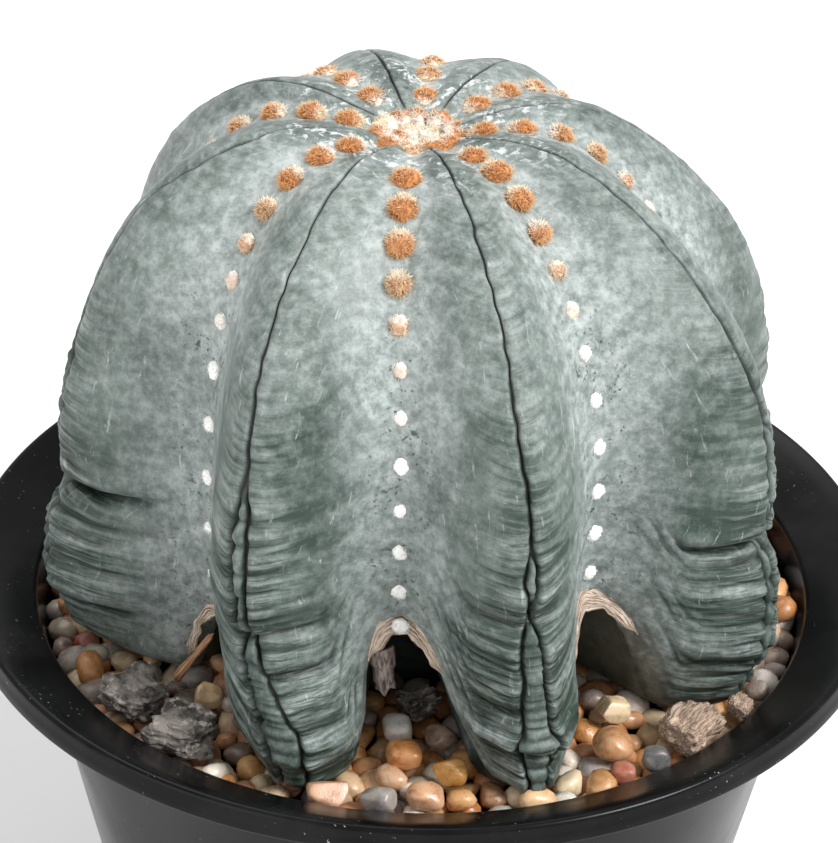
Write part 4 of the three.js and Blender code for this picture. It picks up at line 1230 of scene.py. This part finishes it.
def make_chunk(node, material, slot):
    """A broken chunk that fills its CAD node's box: layered, ragged and chipped."""
    name, turn, raggedness, layers, seed = CHUNKS[node]
    points, faces = block(CHUNK_CUTS)
    flat = points * 2
    norm = (np.abs(flat) ** 5).sum(1) ** (1 / 5)
    points = flat / norm[:, None] / 2
    grain = points.copy()
    seeded = points * 3 + seed
    shift = layered(seeded, 1.6, 3, 80)[:, None] * points * 0.34
    ridge = np.abs(noise(seeded * [0.35, layers, layers], 1.0, 81))
    points = points + shift + points * (ridge * raggedness)[:, None]
    points[:, 0] += 0.05 * noise(np.stack([seeded[:, 1] * 6, seeded[:, 2] * 6, seeded[:, 0]], -1), 1, 82)
    spin = np.array(Matrix.Rotation(math.radians(turn), 3, "Z"))
    size = node_size(node)
    points = points @ spin.T
    points = (points - (points.max(0) + points.min(0)) / 2) / (points.max(0) - points.min(0))
    points = points * size * [1, 1, 1.05] + node_centre(node) - [0, 0, 0.4]
    piece = build(name, points, faces, material, dict(grain=grain * 10 + seed))
    return place(piece, slot, node)


TWIG_RADIUS = 1.15
TWIG_ROWS = 40
TWIG_COLUMNS = 18


def make_twig():
    """A split stick of dry wood that leans out from under the left arch."""
    low, high = (np.array(c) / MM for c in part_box("twig"))
    foot = np.array([low[0] + 1.2, (low[1] + high[1]) / 2, low[2] + 0.8])
    tip = np.array([high[0] - 0.8, (low[1] + high[1]) / 2, high[2] - 0.6])
    t = np.linspace(0, 1, TWIG_ROWS)[:, None]
    angle = np.linspace(0, 2 * np.pi, TWIG_COLUMNS, endpoint=False)[None]
    axis = unit(tip - foot)
    a, b = frame_on(axis, np.array([0, 1.0, 0]))
    radius = TWIG_RADIUS * (1 - 0.45 * t) * smooth(-0.02, 0.06, t) * smooth(1.02, 0.9, t)
    flute = 1 + 0.16 * line_noise((3 * np.cos(angle) + 0 * t, 3 * np.sin(angle) + 0.4 * t), 0.6, 90)
    radius = radius * flute * (1 + 0.1 * np.sin(9 * t))
    centre = foot + t[..., None] * (tip - foot)
    points = centre + (radius * np.cos(angle))[..., None] * a + (radius * np.sin(angle))[..., None] * b * 0.7
    grain = np.stack(np.broadcast_arrays(t * 3, np.cos(angle), np.sin(angle)), -1).reshape(-1, 3)
    faces = tube_faces(TWIG_ROWS, TWIG_COLUMNS)
    material = dry_wood("twig_wood", (1.2, 9, 9), (0.16, 0.07, 0.035), (0.62, 0.36, 0.20))
    piece = build("twig_stick", points.reshape(-1, 3), faces, material, dict(grain=grain))
    return place(piece, "wood", "twig")


def make_bark_and_wood():
    bark = weathered_bark()
    wood = dry_wood("chip_wood", (0.5, 3.2, 3.2), (0.17, 0.105, 0.075), (0.56, 0.42, 0.32))
    for node in CHUNKS:
        slot = node.split("_")[0]
        make_chunk(node, bark if slot == "bark" else wood, slot)


# ---------------------------------------------------------------- pot
def arc(centre, radius, start, end, steps=5):
    angles = np.radians(np.linspace(start, end, steps))
    return [(centre[0] + radius * np.cos(a), centre[1] + radius * np.sin(a)) for a in angles]


# Sizes of the CAD pot that its box doesn't tell.
MOUTH_RADIUS = 66.9
BASE_RADIUS = 46.5
WALL = 1.5
COLLAR_DROP = 5.5
SKIRT_DROP = 3.7
SKIRT_FLARE = 1.6
FLOOR_LOW = 3.0
FLOOR_HIGH = 4.8
DRAIN_COUNT = 8
DRAIN_RADIUS = 4.0
DRAIN_CIRCLE = 30.0
CENTRE_DRAIN_RADIUS = 5.0
POT_SEGMENTS = 256
SHARP_ANGLE = 40


def make_pot():
    """The moulded pot: rounded lip, funnel collar, tapered wall, foot ring and drained floor."""
    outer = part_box("pot")[1].x / MM
    top_radius = outer - SKIRT_FLARE
    mouth_height = RIM - COLLAR_DROP

    def inner(height):
        return mix(BASE_RADIUS - WALL, MOUTH_RADIUS, height / mouth_height)
    profile = [(0.0, FLOOR_LOW), (41.0, FLOOR_LOW), (42.2, 2.4), (42.6, 0.5)]
    profile += arc((43.3, 0.6), 0.6, 190, 270, 4)
    profile += arc((BASE_RADIUS - 0.9, 0.9), 0.9, 270, 350, 5)
    for height in np.linspace(6, mouth_height - 4.5, 9):
        profile.append((inner(height) + WALL, height))
    profile += [(inner(mouth_height - 2.6) + WALL + 0.3, mouth_height - 2.6),
                (inner(mouth_height) + WALL + 1.6, mouth_height - 1.0),
                (top_radius - WALL - 0.6, RIM - 2.9), (top_radius - 0.2, RIM - 2.6)]
    profile += [(outer - 1.3, RIM - SKIRT_DROP)]
    profile += arc((outer - 0.65, RIM - SKIRT_DROP + 0.3), 0.62, 230, 360, 5)
    profile += [(outer - 0.45, RIM - 2.3), (outer - 0.75, RIM - 1.3)]
    profile += arc((top_radius - 0.15, RIM - 0.95), 0.95, 12, 112, 7)
    profile += [(top_radius - 3.0, RIM - 1.25), (MOUTH_RADIUS + 3.2, mouth_height + 1.35)]
    profile += arc((MOUTH_RADIUS + 1.3, mouth_height - 1.05), 1.3, 108, 176, 6)
    for height in np.linspace(mouth_height - 3, FLOOR_HIGH + 2.5, 9):
        profile.append((inner(height), height))
    profile += arc((inner(FLOOR_HIGH) - 1.6, FLOOR_HIGH + 1.6), 1.6, -10, -90, 4)
    profile += [(20.0, FLOOR_HIGH), (0.0, FLOOR_HIGH)]
    body = [p for p in profile if p[0] > 0]
    angle = np.linspace(0, 2 * np.pi, POT_SEGMENTS, endpoint=False)
    rings = np.array([[(r * np.cos(a), r * np.sin(a), z) for a in angle] for r, z in body])
    points = np.vstack([rings.reshape(-1, 3), [[0, 0, profile[0][1]]], [[0, 0, profile[-1][1]]]])
    faces = [face[::-1] for face in pointed_faces(len(body), POT_SEGMENTS)]
    piece = build("nursery_pot", points, faces, pot_plastic())
    cut_drains(piece, FLOOR_LOW)
    return place(piece, "pot_plastic", "pot")


def cut_drains(piece, level):
    """Nine round drain holes through the floor, in the places that the CAD pot has them."""
    bm = bmesh.new()
    places = [(0, 0, CENTRE_DRAIN_RADIUS)]
    for k in range(DRAIN_COUNT):
        azimuth = math.radians(360 * k / DRAIN_COUNT)
        places.append((DRAIN_CIRCLE * math.sin(azimuth), -DRAIN_CIRCLE * math.cos(azimuth), DRAIN_RADIUS))
    for x, y, radius in places:
        spot = Matrix.Translation(Vector((x, y, level + 1)) * MM)
        bmesh.ops.create_cone(bm, cap_ends=True, segments=40, radius1=radius * MM, radius2=radius * MM,
                              depth=9 * MM, matrix=spot)
    mesh = bpy.data.meshes.new("drills")
    bm.to_mesh(mesh)
    bm.free()
    drills = add_object("drills", mesh)
    cut = piece.modifiers.new("drains", "BOOLEAN")
    cut.object = drills
    cut.operation = "DIFFERENCE"
    cut.solver = "EXACT"
    bpy.context.view_layer.update()
    result = bpy.data.meshes.new_from_object(piece.evaluated_get(bpy.context.evaluated_depsgraph_get()))
    piece.modifiers.clear()
    piece.data = result
    bpy.data.objects.remove(drills)
    crease_by_angle(piece, SHARP_ANGLE)


def crease_by_angle(piece, degrees):
    """Smooth shading with sharp edges where the surface turns by more than degrees."""
    bm = bmesh.new()
    bm.from_mesh(piece.data)
    limit = math.radians(degrees)
    for edge in bm.edges:
        edge.smooth = not (len(edge.link_faces) == 2 and edge.calc_face_angle(0) > limit)
    for face in bm.faces:
        face.smooth = True
    bm.to_mesh(piece.data)
    bm.free()


# ---------------------------------------------------------------- stage, light and camera
FLOOR_REACH = 6.0  # metres from the middle to each edge
SURROUNDINGS = 0.55
# Azimuth and elevation that each light comes from, and how wide it looks, in degrees, then its power.
SUNS = {"key": (62, 44, 20, 3.4), "fill": (-50, 12, 50, 1.1), "top": (200, 62, 40, 0.9)}


def make_stage():
    corners = [(x * FLOOR_REACH, y * FLOOR_REACH, 0) for x, y in ((-1, -1), (1, -1), (1, 1), (-1, 1))]
    mesh = bpy.data.meshes.new("floor")
    mesh.from_pydata(corners, [], [(0, 1, 2, 3)])
    mesh.materials.append(plain_floor())
    add_object("floor", mesh)
    world = bpy.data.worlds.new("studio")
    world.use_nodes = True
    world.node_tree.nodes["Background"].inputs["Color"].default_value = (1, 1, 1, 1)
    world.node_tree.nodes["Background"].inputs["Strength"].default_value = SURROUNDINGS
    bpy.context.scene.world = world


def add_sun(name, azimuth, elevation, spread, power):
    """A broad soft light from one direction, as from a large softbox far away."""
    light = bpy.data.lights.new(name, "SUN")
    light.angle = math.radians(spread)
    light.energy = power
    lamp = add_object(name, light)
    level = math.radians(elevation)
    turn = math.radians(azimuth)
    away = Vector((math.cos(level) * math.sin(turn), -math.cos(level) * math.cos(turn), math.sin(level)))
    lamp.rotation_euler = away.to_track_quat("Z", "Y").to_euler()


def make_lights():
    for name, sun in SUNS.items():
        add_sun(name, *sun)


CAMERA_ELEVATION = 31.27
CAMERA_ROLL = 1.3288
CAMERA_DISTANCE = 0.507
CAMERA_LENS = 127.23
CAMERA_SENSOR = 36
CAMERA_AIM = Vector((-0.00104, 0, 0.02508))  # from the middle of the pot's rim


def make_camera():
    data = bpy.data.cameras.new("camera")
    data.lens = CAMERA_LENS
    data.sensor_width = CAMERA_SENSOR
    camera = add_object("camera", data)
    level = math.radians(CAMERA_ELEVATION)
    aim = CAMERA_AIM + Vector((0, 0, RIM * MM))
    away = Vector((0, -math.cos(level), math.sin(level)))
    turn = away.to_track_quat("Z", "Y").to_matrix().to_4x4()
    roll = Matrix.Rotation(math.radians(CAMERA_ROLL), 4, "Z")
    camera.matrix_world = Matrix.Translation(aim + away * CAMERA_DISTANCE) @ turn @ roll
    bpy.context.scene.camera = camera


def finish_soil():
    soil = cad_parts["potting_mix"]
    soil.data.materials.clear()
    soil.data.materials.append(damp_soil())


make_stage()
make_lights()
make_camera()
make_stem()
make_areoles()
make_crown_wool()
make_torn_skin()
make_gravel()
make_named_pebbles()
make_bark_and_wood()
make_twig()
make_pot()
finish_soil()
bpy.context.scene.view_settings.view_transform = "Standard"
